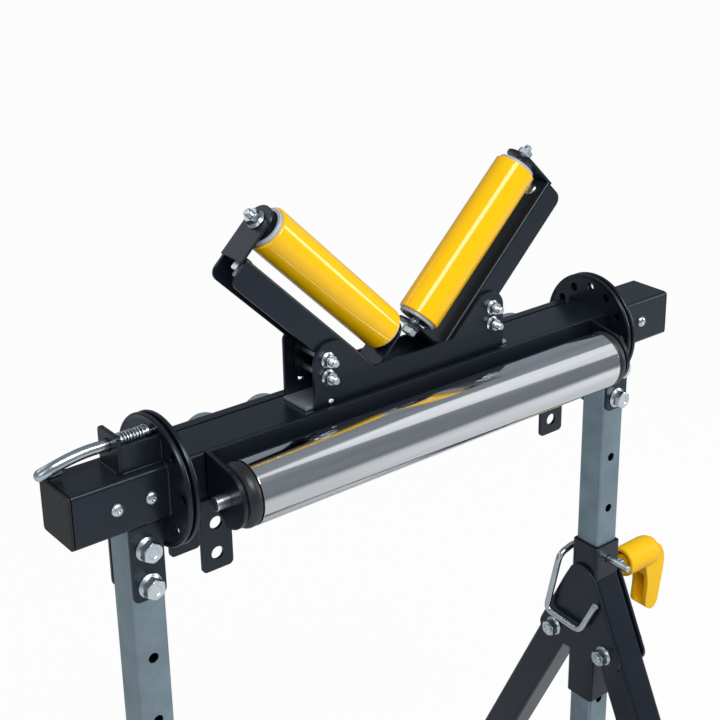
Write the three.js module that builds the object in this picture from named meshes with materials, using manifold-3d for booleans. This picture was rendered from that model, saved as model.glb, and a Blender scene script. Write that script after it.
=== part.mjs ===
// Adjustable roller trestle: a folding stand with two height posts that carry a beam
// between index discs. Each side of the beam is another support: a V of two
// yellow rollers, one long roller, a rail of balls, and a pair of timber brackets.
// Millimetres, +Z up. The origin is on the floor under the middle of the beam.
// +X runs along the beam, -Y is the side of the long roller.
import * as THREE from "three";
import { mergeVertices } from "three/addons/utils/BufferGeometryUtils.js";
import Module from "manifold-3d";

const wasm = await Module();
wasm.setup();

// Fits shared by every piece
const FIT = 0.3; // clearance between pieces that touch
const HOLE_FIT = 0.5; // extra radius of a bolt's hole
const SINK = 0.2; // how far welded pieces run into each other
const PAST = 5; // how far a cutting tool runs past what it cuts
const LEAST_CORNER = 0.5;
const MERGE_DISTANCE = 1e-4;

// How finely round shapes are drawn
const ROUND_SIDES = 16;
const SMALL_SIDES = 8;
const DISC_SIDES = 30;
const ROLLER_SIDES = 22;
const CUP_SIDES = 12;
const BOLT_SIDES = 8;
const HEX_SIDES = 6;
const WIRE_SIDES = 5;
const SPRING_STEP_COUNT = 8;
const BALL_RING_COUNT = 7;
const RAIL_STEP_COUNT = 2; // steps round a corner
const CORNER_STEP_COUNT = 3;
const LEG_STEP_COUNT = 4;
const TUBE_STEP_COUNT = 5;
const TAB_STEP_COUNT = 8;
const EAR_STEP_COUNT = 12;

// Square tubes
const BEAM_DEPTH = 40;
const BEAM_TALL = 38;
const BEAM_WALL = 2;
const BEAM_CORNER = 3;
const BEAM_TOP = BEAM_TALL / 2;
const POST_SIZE = 25;
const POST_WALL = 1.5;
const POST_CORNER = 2;
const POST_X = 225; // half the distance between the posts
const SLIDE_FIT = 0.5; // between the post and its sleeve
const SLEEVE_WALL = 2;
const SLEEVE_CORNER = 3;
const SLEEVE_SIZE = POST_SIZE + 2 * (SLEEVE_WALL + SLIDE_FIT);
const SLEEVE_HALF = SLEEVE_SIZE / 2;

// Bolts: shank radius, across flats, flange radius, flange and hexagon heights
const M8_SHANK = 4;
const M8_TIP = 3;
const M8 = { shank: M8_SHANK, flats: 13, flange: 8.7, brim: 1.6, head: 6.6 };
const M6_SHANK = 3;
const M6_TIP = 4.5;
const M6 = { shank: M6_SHANK, flats: 10, flange: 5.8, brim: 0.8, head: 4.8 };
const AXLE_TIP = 4;
const M6_FLANGE = { shank: M6_SHANK, flats: 10, flange: 7, brim: 1.4, head: 4.8 };

// Saddle under each stub, which grips the top of a post
const SADDLE_WALL = 2.5;
const SADDLE_INNER = POST_SIZE / 2 + FIT;
const SADDLE_OUTER = SADDLE_INNER + SADDLE_WALL;
const SADDLE_HALF = POST_SIZE / 2 - SINK;
const SADDLE_CORNER = 5;
const SADDLE_BOLT_DOWN = 19;
const SADDLE_BOLT_PITCH = 27.5;
const SADDLE_BOLT_EDGE = 10.5;
const UPPER_BOLT_Z = -BEAM_TOP - SADDLE_BOLT_DOWN;
const LOWER_BOLT_Z = UPPER_BOLT_Z - SADDLE_BOLT_PITCH;
const SADDLE_BOLT_Z = [UPPER_BOLT_Z, LOWER_BOLT_Z];
const SADDLE_LOW = LOWER_BOLT_Z - SADDLE_BOLT_EDGE;

// Posts: heights count from the beam's axis, and the pins are in the third holes
const POST_TOP = -BEAM_TOP - SADDLE_WALL - SLIDE_FIT;
const HOLE_PITCH = 50;
const HOLE_COUNT = 7;
const FIRST_HOLE_DOWN = 101.2;
const LAST_HOLE_UP = 48.8; // above the post's lower end
const POST_LENGTH = FIRST_HOLE_DOWN + (HOLE_COUNT - 1) * HOLE_PITCH + LAST_HOLE_UP;
const POST_BOTTOM = POST_TOP - POST_LENGTH;
const FIRST_HOLE = POST_TOP - FIRST_HOLE_DOWN;
const LOCK_WIRE = 3;
const LOCK_HOLE = LOCK_WIRE + 2 * FIT;
const PIN_Z = FIRST_HOLE - 2 * HOLE_PITCH;

// Sleeves and hinge plates, placed by the lock pin
const SLEEVE_OVER_PIN = 13.9;
const PIN_TO_CLAMP = 24.8;
const PIN_TO_PIVOT = 84.8;
const PIVOT_TO_SLEEVE_END = 61.5;
const SLEEVE_TOP = PIN_Z + SLEEVE_OVER_PIN;
const CLAMP_Z = PIN_Z - PIN_TO_CLAMP;
const PIVOT_Z = PIN_Z - PIN_TO_PIVOT;
const SLEEVE_BOTTOM = PIVOT_Z - PIVOT_TO_SLEEVE_END;
const PIVOT_OUT = 16;
const PIVOT_Y = SLEEVE_HALF + PIVOT_OUT;
const HINGE_PLATE = 3;
const HINGE_FACE = POST_X + SLEEVE_HALF + HINGE_PLATE;
const HINGE_SHOULDER_OUT = 3; // the plate's straight sides stand this far off the sleeve
const HINGE_SHOULDER_UP = 63;
const HINGE_PEAK_HALF = 9;
const HINGE_PEAK_UP = 78;
const HINGE_CORNER_DOWN = 4;
const HINGE_LOW_DOWN = 13.5;
const HINGE_LOW_IN = 6;
const HINGE_TOE_CORNER = 5;
const HINGE_LOW_CORNER = 4;
const HINGE_SHOULDER_CORNER = 10;
const HINGE_PEAK_CORNER = 8;
const NUT_RADIUS = 8.5;
const NUT_TALL = 8;
const NUT_END = HINGE_FACE + NUT_TALL;

// Legs
const LEG_DEGREES = 26;
const LEG_ANGLE = THREE.MathUtils.degToRad(LEG_DEGREES);
const LEG_OUT = Math.sin(LEG_ANGLE);
const LEG_DOWN = Math.cos(LEG_ANGLE);
const PIVOT_HEIGHT = 412; // leg pivots above the floor
const BEAM_HEIGHT = PIVOT_HEIGHT - PIVOT_Z;
const FLOOR = -BEAM_HEIGHT;
const LEG_SIDE_FIT = 0.4;
const LEG_WIDE = SLEEVE_SIZE - 2 * LEG_SIDE_FIT;
const LEG_DEEP = 30;
const LEG_WALL = 1.5;
const LEG_CORNER = 3;
const LEG_TO_FLOOR = PIVOT_HEIGHT / LEG_DOWN;
const LEG_HEAD = 80; // tube left above the pivot before its end is mitred
const BAR_SIZE = 25;
const BAR_CORNER = 3;
const BAR_SHARE = 0.709; // where the cross bar sits between pivot and floor
const BAR_ALONG_LEG = BAR_SHARE * LEG_TO_FLOOR;
const BAR_HOLE = 8; // opening between the bar and each leg
const FOOT_TALL = 42;
const FOOT_WALL = 3;
const FOOT_CORNER = 5;
const SOLE = 4;

// Lock pin: its point, and a bail bent in shares of its reach and drop
const LOCK_POINT_OUT = 24.7;
const LOCK_SIDE_FIT = 2.5;
const BAIL_X = POST_X - SLEEVE_HALF - HINGE_PLATE - LOCK_WIRE - LOCK_SIDE_FIT;
const BAIL_REACH = 36;
const BAIL_DROP = 69.8;
const BAIL_BEND = 8;
const BAIL_SHARES = [
  [0.611, -0.043],
  [1, -0.957],
  [-0.167, -1],
  [-0.639, -0.513],
];
const LOCK_HEEL_SHARE = 0.667;

// Clamp lever: a hub, and a handle whose outline is in shares of its box
const HUB_GAP = 9.5;
const HUB_START = NUT_END + HUB_GAP;
const HUB_RADIUS = 14;
const HUB_LENGTH = 32.5;
const HUB_CHAMFER = 1.5;
const HUB_DOME_SHARES = [
  [0.82, 0.215],
  [0.464, 0.369],
  [0, 0.415],
];
const CLAMP_STUD = 4;
const CLAMP_STUD_FIT = 0.4;
const HANDLE_IN = 23.5;
const HANDLE_START = HUB_START + HANDLE_IN;
const HANDLE_WIDE = 27;
const HANDLE_TALL = 72;
const HANDLE_DOWN = 60;
const HANDLE_LOW = CLAMP_Z - HANDLE_DOWN;
const HANDLE_HALF = 8.5;
const HANDLE_BEVEL = 2;
const HANDLE_SHARES = [
  [0, 0.944, 0.111],
  [0.556, 1, 0.222],
  [0.963, 0.806, 0.333],
  [1, 0.639, 0.222],
  [0.704, 0.028, 0.222],
  [0.296, 0, 0.222],
  [0.074, 0.139, 0.222],
  [0.222, 0.417, 0.296],
  [0, 0.681, 0.148],
];
const GROOVE_HALF = 4.5;
const GROOVE_SHARES = [
  [-0.148, 0.528, 0],
  [0.389, 0.472, 0.111],
  [0.333, 0.139, 0.148],
  [-0.148, 0.083, 0],
];

// Index discs: the fixed one carries the stub, the turning one the beam
const INDEX_OVER_TUBE = 16.7; // the index pin clears the tops of the tubes
const INDEX_RADIUS = BEAM_TOP + INDEX_OVER_TUBE;
const INDEX_EDGE = 10.3;
const DISC_RADIUS = INDEX_RADIUS + INDEX_EDGE;
const DISC_PLATE = 1.8;
const DISC_RIM = 3.5;
const DISC_EDGE = 1.2; // roundings of the rolled rim
const DISC_TURN = 1.4;
const DISC_LIP = 3.4;
const POST_TO_RIM = 2.6;
const DISC_GAP = 1.9;
const DISC_FACE_X = POST_X - POST_SIZE / 2 - POST_TO_RIM - DISC_RIM;
const TURN_FACE_X = DISC_FACE_X - DISC_GAP;
const INSIDE_RIMS = TURN_FACE_X - DISC_RIM;
const SPIGOT_RADIUS = 8;
const SPIGOT_LENGTH = 13.2;
const SPIGOT_CHAMFER = 1;
const PIN_NOSE = 3;
const INDEX_HOLE = PIN_NOSE + 2 * FIT;
const FIXED_HOLE_COUNT = 8;
const TURN_HOLE_COUNT = 12;

// Stubs
const STUB_OUT = 51;
const STUB_END = POST_X + STUB_OUT;
const CAP_PLATE = 2;
const CAP_PLUG = 10;
const CAP_WALL = 2.2;
const CAP_CORNER = 1.5;

// Index pin, on the left stub only
const INDEX_ROD = 4;
const TAB_OUT = 14.2;
const TAB_X = -POST_X - TAB_OUT;
const TAB_THICK = 3;
const TAB_HALF = 13;
const TAB_OVER_ROD = 9.3;
const TAB_TOP = INDEX_RADIUS + TAB_OVER_ROD;
const TAB_CORNER = 3;
const GUARD_WALL = 2.5;
const GUARD_OVER_ROD = 2;
const GUARD_TOP = INDEX_RADIUS + GUARD_OVER_ROD;
const COLLAR_THICK = 2.4;
const COLLAR_RADIUS = 6;
const COLLAR_IN = 11.8;
const COLLAR_X = -POST_X + COLLAR_IN;
const PIN_POINT = 3;
const PIN_REACH = 7.5;
const PIN_TIP_X = -TURN_FACE_X + PIN_REACH;
const HOOK_LENGTH = 44.1;
const HOOK_ACROSS = 8.6;
const HOOK_CLEAR = 1.5; // between the end of the hook and the stub
const HOOK_DROP = INDEX_OVER_TUBE - INDEX_ROD - HOOK_CLEAR;
const HOOK_SHARES = [
  [-0.39, 0, 0],
  [0.018, 0, 0],
  [0.336, 0, 0],
  [0.585, 0, -0.107],
  [0.789, 0.07, -0.304],
  [0.925, 0.302, -0.554],
  [1, 0.651, -0.804],
  [0.88, 1, -1],
  [0.676, 0.977, -0.946],
];
const HOOK_RING_SHARES = [0.4, 0.5, 0.57, 0.63, 0.69, 0.74, 0.78, 0.82, 0.86, 0.9, 0.94, 1];
const SPRING_WIRE = 0.6;
const SPRING_FIT = 0.4;
const SPRING_RADIUS = INDEX_ROD + SPRING_WIRE + SPRING_FIT;
const SPRING_TURN_COUNT = 9.5;

// Roller side of the beam, laid out inwards from the index discs
const AXLE_GAP = 9.7;
const AXLE_RADIUS = 5;
const AXLE_CHAMFER = 1;
const AXLE_HALF = INSIDE_RIMS - AXLE_GAP;
const AXLE_OUT = 9.8;
const CRADLE_END = AXLE_HALF - AXLE_OUT;
const EAR_THICK = 3;
const CAP_GAP = 0.4;
const ROLLER_CAP_END = CRADLE_END - EAR_THICK - CAP_GAP;
const ROLLER_CAP_LENGTH = 10.6;
const ROLLER_HALF = ROLLER_CAP_END - ROLLER_CAP_LENGTH;
const ROLLER_RADIUS = 22.5;
const ROLLER_WALL = 2;
const ROLLER_DOWN = 5;
const ROLLER_Z = -ROLLER_DOWN;
const CRADLE_WALL = 2.5;
const ROLLER_GAP = 0.2;
const CRADLE_BACK = -BEAM_DEPTH / 2 - FIT;
const CRADLE_FRONT = CRADLE_BACK - CRADLE_WALL;
const ROLLER_Y = CRADLE_FRONT - ROLLER_GAP - ROLLER_RADIUS;
const CRADLE_UNDER = 7;
const CRADLE_OVER_BEAM = 1.2;
const EAR_IN = 1; // the ear's centre stands this much behind the axle
const EAR_SMALLER = 1.5;
const EAR_RADIUS = ROLLER_RADIUS - EAR_SMALLER;
const EAR_START_DEGREES = 92;
const EAR_END_DEGREES = 262;
const CAP_PLUG_DEEP = 12;
const CAP_SHOULDER_SHARES = [
  [0, 0.4],
  [0.089, 0.8],
  [0.244, 1],
];

// Timber brackets: heights under the beam's lower face
const TIMBER_HALF = 12;
const TIMBER_WALL = 2.5;
const TIMBER_CORNER = 3.5;
const TIMBER_LEFT_IN = 4.25;
const TIMBER_RIGHT_IN = 43;
const TIMBER_LAP = 4.5;
const TIMBER_FRONT_DOWN = 49.5;
const TIMBER_BACK_DOWN = 57;
const TIMBER_HOLE = 4.6;
const TIMBER_HOLE_DOWN = 14.5;
const TIMBER_HOLE_PITCH = 22.8;

// Ball side of the beam
const BALL_RADIUS = 12.7;
const BALL_COUNT = 7;
const BALL_OUT = 20.5;
const BALL_Y = BEAM_DEPTH / 2 + BALL_OUT;
const RAIL_DEPTH = 9.2;
const RAIL_WALL = 2;
const RAIL_CORNER = 2;
const RAIL_GAP = 4;
const RAIL_HALF = INSIDE_RIMS - RAIL_GAP;
const RAIL_END = 50;
const BALL_PITCH = (2 * (RAIL_HALF - RAIL_END)) / (BALL_COUNT - 1);
const CUP_FOOT = 4.8; // how much wider than the ball the cup is, foot, side and mouth
const CUP_SIDE = 2.6;
const CUP_MOUTH = 0.9;
const CUP_FOOT_TALL = 2.2;
const CUP_SIDE_TALL = 8;
const CUP_OVER = 3; // the mouth stands this far over the ball's centre
const CUP_GRIP = 1;

// V head: the arms lie at 45 degrees; "along" runs up the arm and "over" is square to it,
// both from a point under the top of the beam
const HEAD_DOWN = 19;
const HEAD_Z = BEAM_TOP - HEAD_DOWN;
const ARM_HALF_Y = 13.2;
const ARM_WALL = 2;
const ARM_TOP = 2.5;
const ARM_DEEP = 20.2;
const ARM_LOW = ARM_TOP - ARM_DEEP;
const ARM_START = 44;
const ARM_END = 196;
const ARM_END_CORNER = 7;
const ARM_START_CORNER = 2;
const ARM_EDGE = 1;
const ARM_OVER_BEAM = 3.5;
const V_TAB_THICK = 2;
const V_TAB_HALF = 12;
const V_TAB_GAP = 0.4;
const V_TAB_ALONG = ARM_END + V_TAB_GAP;
const V_FOOT_LENGTH = 18;
const V_FOOT_HALF = ARM_HALF_Y - ARM_WALL - V_TAB_GAP;
const V_ROLLER_RADIUS = 16.4;
const V_LIFT = 9.2;
const V_ROLLER_OVER = ARM_TOP + V_LIFT + V_ROLLER_RADIUS;
const V_GAP_LOW = 4;
const V_GAP_HIGH = 4.9;
const V_ROLLER_START = ARM_START + V_TAB_THICK + V_GAP_LOW;
const V_ROLLER_END = V_TAB_ALONG - V_GAP_HIGH;
const V_EDGE = 0.8;
const V_RIM = 2;
const V_RECESS = 1;
const V_RECESS_EDGE = 0.6;

// Yoke plates and the base plate between them
const YOKE_INNER = ARM_HALF_Y + FIT;
const YOKE_WALL = 2.5;
const YOKE_OUTER = YOKE_INNER + YOKE_WALL;
const YOKE_NOTCH_HALF = 37.5;
const YOKE_BOLT_IN = 40; // from the notch to the bolts
const YOKE_BOLT_X = YOKE_NOTCH_HALF + YOKE_BOLT_IN;
const YOKE_BOLT_UP = 22; // lower bolt over the beam
const YOKE_BOLT_PITCH = 13;
const YOKE_LOWER_BOLT = BEAM_TOP + YOKE_BOLT_UP;
const YOKE_UPPER_BOLT = YOKE_LOWER_BOLT + YOKE_BOLT_PITCH;
const YOKE_BOLTS = [
  [YOKE_BOLT_X, YOKE_UPPER_BOLT],
  [YOKE_BOLT_X, YOKE_LOWER_BOLT],
];
const YOKE_FRONT_EDGE = 11.5; // plate beyond its bolts, and its top above the upper bolt
const YOKE_BACK_EDGE = 16;
const YOKE_FRONT_OVER = 13;
const YOKE_BACK_OVER = 15;
const YOKE_FRONT_CORNER = 14;
const YOKE_BACK_CORNER = 6;
const YOKE_NOTCH_UP = 19;
const YOKE_NOTCH_CORNER = 1.5;
const YOKE_LOW_CORNER = 1;
const YOKE_FLAT_SHARE = 0.65; // of the flat top, the most that a corner takes
const YOKE_LIFT = 0.6;
const BASE_PLATE = 2.5;
const BASE_OUT = 2;
const BASE_HALF = YOKE_BOLT_X + YOKE_BACK_EDGE + BASE_OUT;
const EXTRA_HOLE = 2.4;
const EXTRA_HOLE_OUT = 1.5;
const EXTRA_HOLE_DOWN = 6.6;
const LOBE_HALF = 8.5;
const LOBE_EDGE = 8;
const LOBE_CORNER = 6;
const LOBE_SMALL_CORNER = 2;

const BLACK = { color: 0x16181c, roughness: 0.35, metalness: 0.25 };
const ZINC = { color: 0x9fabb2, roughness: 0.32, metalness: 0.85 };
const CHROME = { color: 0xd6d9dc, roughness: 0.12, metalness: 1 };
const YELLOW = { color: 0xffc800, roughness: 0.22, metalness: 0 };
const LEVER = { color: 0xffb000, roughness: 0.42, metalness: 0 };
const RUBBER = { color: 0x1b1c1f, roughness: 0.6, metalness: 0 };

const part = new THREE.Group();
const SIDES = [
  ["left", -1],
  ["right", 1],
];

// A closed geometry as a solid, turned right side out.
function solid(geometry) {
  const bare = geometry.index ? geometry.toNonIndexed() : geometry.clone();
  for (const name of Object.keys(bare.attributes)) {
    if (name !== "position") bare.deleteAttribute(name);
  }
  const merged = mergeVertices(bare, MERGE_DISTANCE);
  const index = merged.index.array;
  const corners = Array.from({ length: index.length / 3 }, (_, i) =>
    Array.from(index.slice(3 * i, 3 * i + 3)),
  );
  const whole = corners.filter((each) => new Set(each).size === 3);
  const triVerts = new Uint32Array(whole.flat());
  const make = () =>
    new wasm.Manifold(
      new wasm.Mesh({
        numProp: 3,
        vertProperties: merged.attributes.position.array,
        triVerts,
      }),
    );
  const made = make();
  if (made.volume() >= 0) return made;
  for (let i = 0; i < triVerts.length; i += 3) {
    [triVerts[i + 1], triVerts[i + 2]] = [triVerts[i + 2], triVerts[i + 1]];
  }
  return make();
}

// A solid as a geometry that three.js can show.
function geometryOf(made) {
  const mesh = made.getMesh();
  const geometry = new THREE.BufferGeometry();
  const points = new Float32Array(mesh.vertProperties);
  geometry.setAttribute("position", new THREE.BufferAttribute(points, 3));
  geometry.setIndex(new THREE.BufferAttribute(new Uint32Array(mesh.triVerts), 1));
  const flat = geometry.toNonIndexed();
  flat.computeVertexNormals();
  return flat;
}

function join(...solids) {
  return solids.reduce((a, b) => a.add(b));
}

function cut(body, ...tools) {
  return tools.reduce((a, b) => a.subtract(b), body);
}

// The same solid on the other side of the plane X = 0.
function mirrored(made) {
  const geometry = geometryOf(made);
  const mirror = new THREE.Matrix4().makeScale(-1, 1, 1);
  return solid(geometry.applyMatrix4(mirror));
}

function onSide(side, made) {
  return side > 0 ? made : mirrored(made);
}

function addPiece(name, made, look) {
  const geometry = geometryOf(made);
  const mesh = new THREE.Mesh(geometry, new THREE.MeshStandardMaterial(look));
  mesh.name = name;
  mesh.position.set(0, 0, BEAM_HEIGHT);
  part.add(mesh);
}

// An extruded outline: its plane is spanned by two directions from an origin,
// and the depth runs along their cross product.
function extruded(shape, depth, origin, right, up, segments = 6) {
  const geometry = new THREE.ExtrudeGeometry(shape, {
    depth,
    bevelEnabled: false,
    curveSegments: segments,
  });
  const x = new THREE.Vector3(...right);
  const y = new THREE.Vector3(...up);
  const z = new THREE.Vector3().crossVectors(x, y);
  const place = new THREE.Matrix4().makeBasis(x, y, z);
  place.setPosition(...origin);
  return solid(geometry.applyMatrix4(place));
}

const ALONG_X = [
  [0, 1, 0],
  [0, 0, 1],
];
const ALONG_MINUS_Y = [
  [1, 0, 0],
  [0, 0, 1],
];
const ALONG_Z = [
  [1, 0, 0],
  [0, 1, 0],
];

// Corner points [x, y, radius] as a list of points, with an arc in each rounded corner.
function rounded(corners, steps) {
  const count = corners.length;
  return corners.flatMap(([x, y, radius = 0], i) => {
    const here = new THREE.Vector2(x, y);
    if (radius === 0) return [here];
    const toward = (k) =>
      new THREE.Vector2(corners[k][0], corners[k][1]).sub(here).normalize();
    const before = toward((i + count - 1) % count);
    const after = toward((i + 1) % count);
    const half = Math.acos(before.dot(after)) / 2;
    const middle = before.clone().add(after).normalize();
    const centre = here.clone().addScaledVector(middle, radius / Math.sin(half));
    const start = here.clone().addScaledVector(before, radius / Math.tan(half)).sub(centre);
    const sweep = Math.PI - 2 * half;
    const way = Math.sign(before.x * after.y - before.y * after.x);
    return Array.from({ length: steps + 1 }, (_, k) =>
      start
        .clone()
        .rotateAround(new THREE.Vector2(), (-way * sweep * k) / steps)
        .add(centre),
    );
  });
}

function outline(corners, steps = 2) {
  return new THREE.Shape(rounded(corners, steps));
}

function rectangle(wide, tall, corner) {
  const x = wide / 2;
  const y = tall / 2;
  return [
    [-x, -y, corner],
    [x, -y, corner],
    [x, y, corner],
    [-x, y, corner],
  ];
}

function roundedShape(wide, tall, corner) {
  return outline(rectangle(wide, tall, corner));
}

function hollowShape(wide, tall, corner, wall) {
  const shape = roundedShape(wide, tall, corner);
  const inner = Math.max(corner - wall, LEAST_CORNER);
  const room = rectangle(wide - 2 * wall, tall - 2 * wall, inner);
  shape.holes.push(new THREE.Path(rounded(room, 1)));
  return shape;
}

function box(min, max) {
  const size = max.map((value, i) => value - min[i]);
  const geometry = new THREE.BoxGeometry(...size);
  geometry.translate(...min.map((value, i) => value + size[i] / 2));
  return solid(geometry);
}

// A round bar between two points.
function bar(from, to, radius, sides = ROUND_SIDES, endRadius = radius) {
  const a = new THREE.Vector3(...from);
  const b = new THREE.Vector3(...to);
  const geometry = new THREE.CylinderGeometry(
    endRadius,
    radius,
    a.distanceTo(b),
    sides,
  );
  const direction = b.clone().sub(a).normalize();
  const turn = new THREE.Quaternion().setFromUnitVectors(
    new THREE.Vector3(0, 1, 0),
    direction,
  );
  geometry.applyQuaternion(turn);
  const middle = a.add(b).multiplyScalar(1 / 2);
  geometry.translate(middle.x, middle.y, middle.z);
  return solid(geometry);
}

// A revolved profile of [radius, distance] points about a line through a point.
function revolved(profile, origin, direction, sides = ROUND_SIDES) {
  const points = profile.map(([radius, along]) => new THREE.Vector2(radius, along));
  const geometry = new THREE.LatheGeometry(points, sides);
  const turn = new THREE.Quaternion().setFromUnitVectors(
    new THREE.Vector3(0, 1, 0),
    new THREE.Vector3(...direction).normalize(),
  );
  geometry.applyQuaternion(turn);
  geometry.translate(...origin);
  return solid(geometry);
}

// A bolt with a flanged hexagon head at its start and a flanged nut at its end.
// The grip is the distance between the two bearing faces.
function boltAndNut(start, direction, grip, size, tip) {
  const at = (distance) => start.map((value, i) => value + direction[i] * distance);
  const hexRadius = size.flats / Math.sqrt(3);
  const headEnd = -size.brim - size.head;
  const nutEnd = grip + size.brim + size.head;
  return join(
    bar(at(headEnd), at(-size.brim), hexRadius, HEX_SIDES),
    bar(at(-size.brim), at(0), size.flange, BOLT_SIDES),
    bar(at(-size.brim), at(nutEnd + tip), size.shank, SMALL_SIDES),
    bar(at(grip), at(grip + size.brim), size.flange, BOLT_SIDES),
    bar(at(grip + size.brim), at(nutEnd), hexRadius, HEX_SIDES),
  );
}

// A bent round wire: straight runs between corners, each rounded by a radius.
function wire(corners, radius, bend, sides = SMALL_SIDES, stepsEach = CORNER_STEP_COUNT) {
  const points = corners.map((corner) => new THREE.Vector3(...corner));
  const path = new THREE.CurvePath();
  let last = points[0];
  for (let i = 1; i < points.length - 1; i += 1) {
    const back = points[i - 1].clone().sub(points[i]).normalize();
    const ahead = points[i + 1].clone().sub(points[i]).normalize();
    const enter = points[i].clone().addScaledVector(back, bend);
    const leave = points[i].clone().addScaledVector(ahead, bend);
    path.add(new THREE.LineCurve3(last, enter));
    path.add(new THREE.QuadraticBezierCurve3(enter, points[i], leave));
    last = leave;
  }
  path.add(new THREE.LineCurve3(last, points[points.length - 1]));
  return tubeAlong(path, radius, sides, stepsEach);
}

// A round tube whose rings stand only where a path bends.
function tubeAlong(path, radius, sides, stepsEach) {
  const rings = [];
  path.curves.forEach((curve, i) => {
    const straight = curve.isLineCurve3;
    const steps = straight ? 1 : stepsEach;
    for (let k = i === 0 ? 0 : 1; k <= steps; k += 1) {
      rings.push({ at: curve.getPoint(k / steps), way: curve.getTangent(k / steps) });
    }
  });
  return ringTube(rings, radius, sides);
}

// Joins rings of points, one round each path point, into a closed tube.
function ringTube(rings, radius, sides) {
  const positions = [];
  let side = new THREE.Vector3(0.31, 0.52, 0.8).cross(rings[0].way).normalize();
  const circles = rings.map(({ at, way }) => {
    side = side.clone().addScaledVector(way, -side.dot(way)).normalize();
    const other = new THREE.Vector3().crossVectors(way, side);
    return Array.from({ length: sides }, (_, k) => {
      const turn = (k / sides) * 2 * Math.PI;
      return at
        .clone()
        .addScaledVector(side, radius * Math.cos(turn))
        .addScaledVector(other, radius * Math.sin(turn));
    });
  });
  const triangle = (a, b, c) => positions.push(...a, ...b, ...c);
  for (let i = 0; i + 1 < circles.length; i += 1) {
    for (let k = 0; k < sides; k += 1) {
      const next = (k + 1) % sides;
      triangle(circles[i][k], circles[i][next], circles[i + 1][next]);
      triangle(circles[i][k], circles[i + 1][next], circles[i + 1][k]);
    }
  }
  const first = rings[0].at;
  const end = rings[rings.length - 1].at;
  const lastCircle = circles[circles.length - 1];
  for (let k = 0; k < sides; k += 1) {
    const next = (k + 1) % sides;
    triangle(first, circles[0][next], circles[0][k]);
    triangle(end, lastCircle[k], lastCircle[next]);
  }
  const geometry = new THREE.BufferGeometry();
  geometry.setAttribute("position", new THREE.Float32BufferAttribute(positions, 3));
  return solid(geometry);
}

// Stand: sleeves with their hinge plates and the nut of the clamp screw

function hingePlateShape() {
  const shoulder = SLEEVE_HALF + HINGE_SHOULDER_OUT;
  const shoulderZ = PIVOT_Z + HINGE_SHOULDER_UP;
  const toeZ = PIVOT_Z - HINGE_CORNER_DOWN;
  const toe = shoulder + (shoulderZ - toeZ) * Math.tan(LEG_ANGLE);
  const low = PIVOT_Z - HINGE_LOW_DOWN;
  const peak = PIVOT_Z + HINGE_PEAK_UP;
  return outline([
    [-toe, toeZ, HINGE_TOE_CORNER],
    [-toe + HINGE_LOW_IN, low, HINGE_LOW_CORNER],
    [toe - HINGE_LOW_IN, low, HINGE_LOW_CORNER],
    [toe, toeZ, HINGE_TOE_CORNER],
    [shoulder, shoulderZ, HINGE_SHOULDER_CORNER],
    [HINGE_PEAK_HALF, peak, HINGE_PEAK_CORNER],
    [-HINGE_PEAK_HALF, peak, HINGE_PEAK_CORNER],
    [-shoulder, shoulderZ, HINGE_SHOULDER_CORNER],
  ]);
}

function makeSleeve() {
  const tube = extruded(
    hollowShape(SLEEVE_SIZE, SLEEVE_SIZE, SLEEVE_CORNER, SLEEVE_WALL),
    SLEEVE_TOP - SLEEVE_BOTTOM,
    [POST_X, 0, SLEEVE_BOTTOM],
    ...ALONG_Z,
  );
  const plateFrom = (x) =>
    extruded(hingePlateShape(), HINGE_PLATE + SINK, [x, 0, 0], ...ALONG_X);
  const inner = plateFrom(POST_X - SLEEVE_HALF - HINGE_PLATE);
  const outer = plateFrom(POST_X + SLEEVE_HALF - SINK);
  const nut = bar([POST_X + SLEEVE_HALF, 0, CLAMP_Z], [NUT_END, 0, CLAMP_Z], NUT_RADIUS, HEX_SIDES);
  const screwHole = bar(
    [POST_X, 0, CLAMP_Z],
    [NUT_END + PAST, 0, CLAMP_Z],
    CLAMP_STUD + HOLE_FIT,
    SMALL_SIDES,
  );
  const pinHole = bar(
    [POST_X, -SLEEVE_HALF - PAST, PIN_Z],
    [POST_X, SLEEVE_HALF + PAST, PIN_Z],
    LOCK_WIRE + HOLE_FIT,
    SMALL_SIDES,
  );
  const pivotHole = (y) =>
    bar(
      [POST_X - SLEEVE_HALF - HINGE_PLATE - PAST, y, PIVOT_Z],
      [HINGE_FACE + PAST, y, PIVOT_Z],
      M8_SHANK + HOLE_FIT,
      SMALL_SIDES,
    );
  return cut(
    join(tube, inner, outer, nut),
    screwHole,
    pinHole,
    pivotHole(PIVOT_Y),
    pivotHole(-PIVOT_Y),
  );
}

const sleeve = makeSleeve();
const pivotBolt = (y) =>
  boltAndNut(
    [HINGE_FACE + FIT, y, PIVOT_Z],
    [-1, 0, 0],
    SLEEVE_SIZE + 2 * (HINGE_PLATE + FIT),
    M8,
    M8_TIP,
  );

for (const [label, side] of SIDES) {
  addPiece(`sleeve_${label}`, onSide(side, sleeve), BLACK);
  addPiece(`pivot_bolt_front_${label}`, onSide(side, pivotBolt(-PIVOT_Y)), ZINC);
  addPiece(`pivot_bolt_back_${label}`, onSide(side, pivotBolt(PIVOT_Y)), ZINC);
}

// Leg frames: two square tubes with a cross bar, mitred at the top to bear on the sleeves

// A point on the front leg: distance down the leg, and square to it towards the back.
function legPoint(x, down, across) {
  const y = -PIVOT_Y - down * LEG_OUT + across * LEG_DOWN;
  const z = PIVOT_Z - down * LEG_DOWN - across * LEG_OUT;
  return [x, y, z];
}

const LEG_RIGHT = [1, 0, 0];
const LEG_UP = [0, LEG_DOWN, -LEG_OUT]; // across the leg, towards the back
const BAR_UP = [0, LEG_OUT, LEG_DOWN];
const LEG_SPREAD = PIVOT_Y + (LEG_TO_FLOOR + LEG_DEEP) * LEG_OUT + LEG_DEEP;

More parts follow.
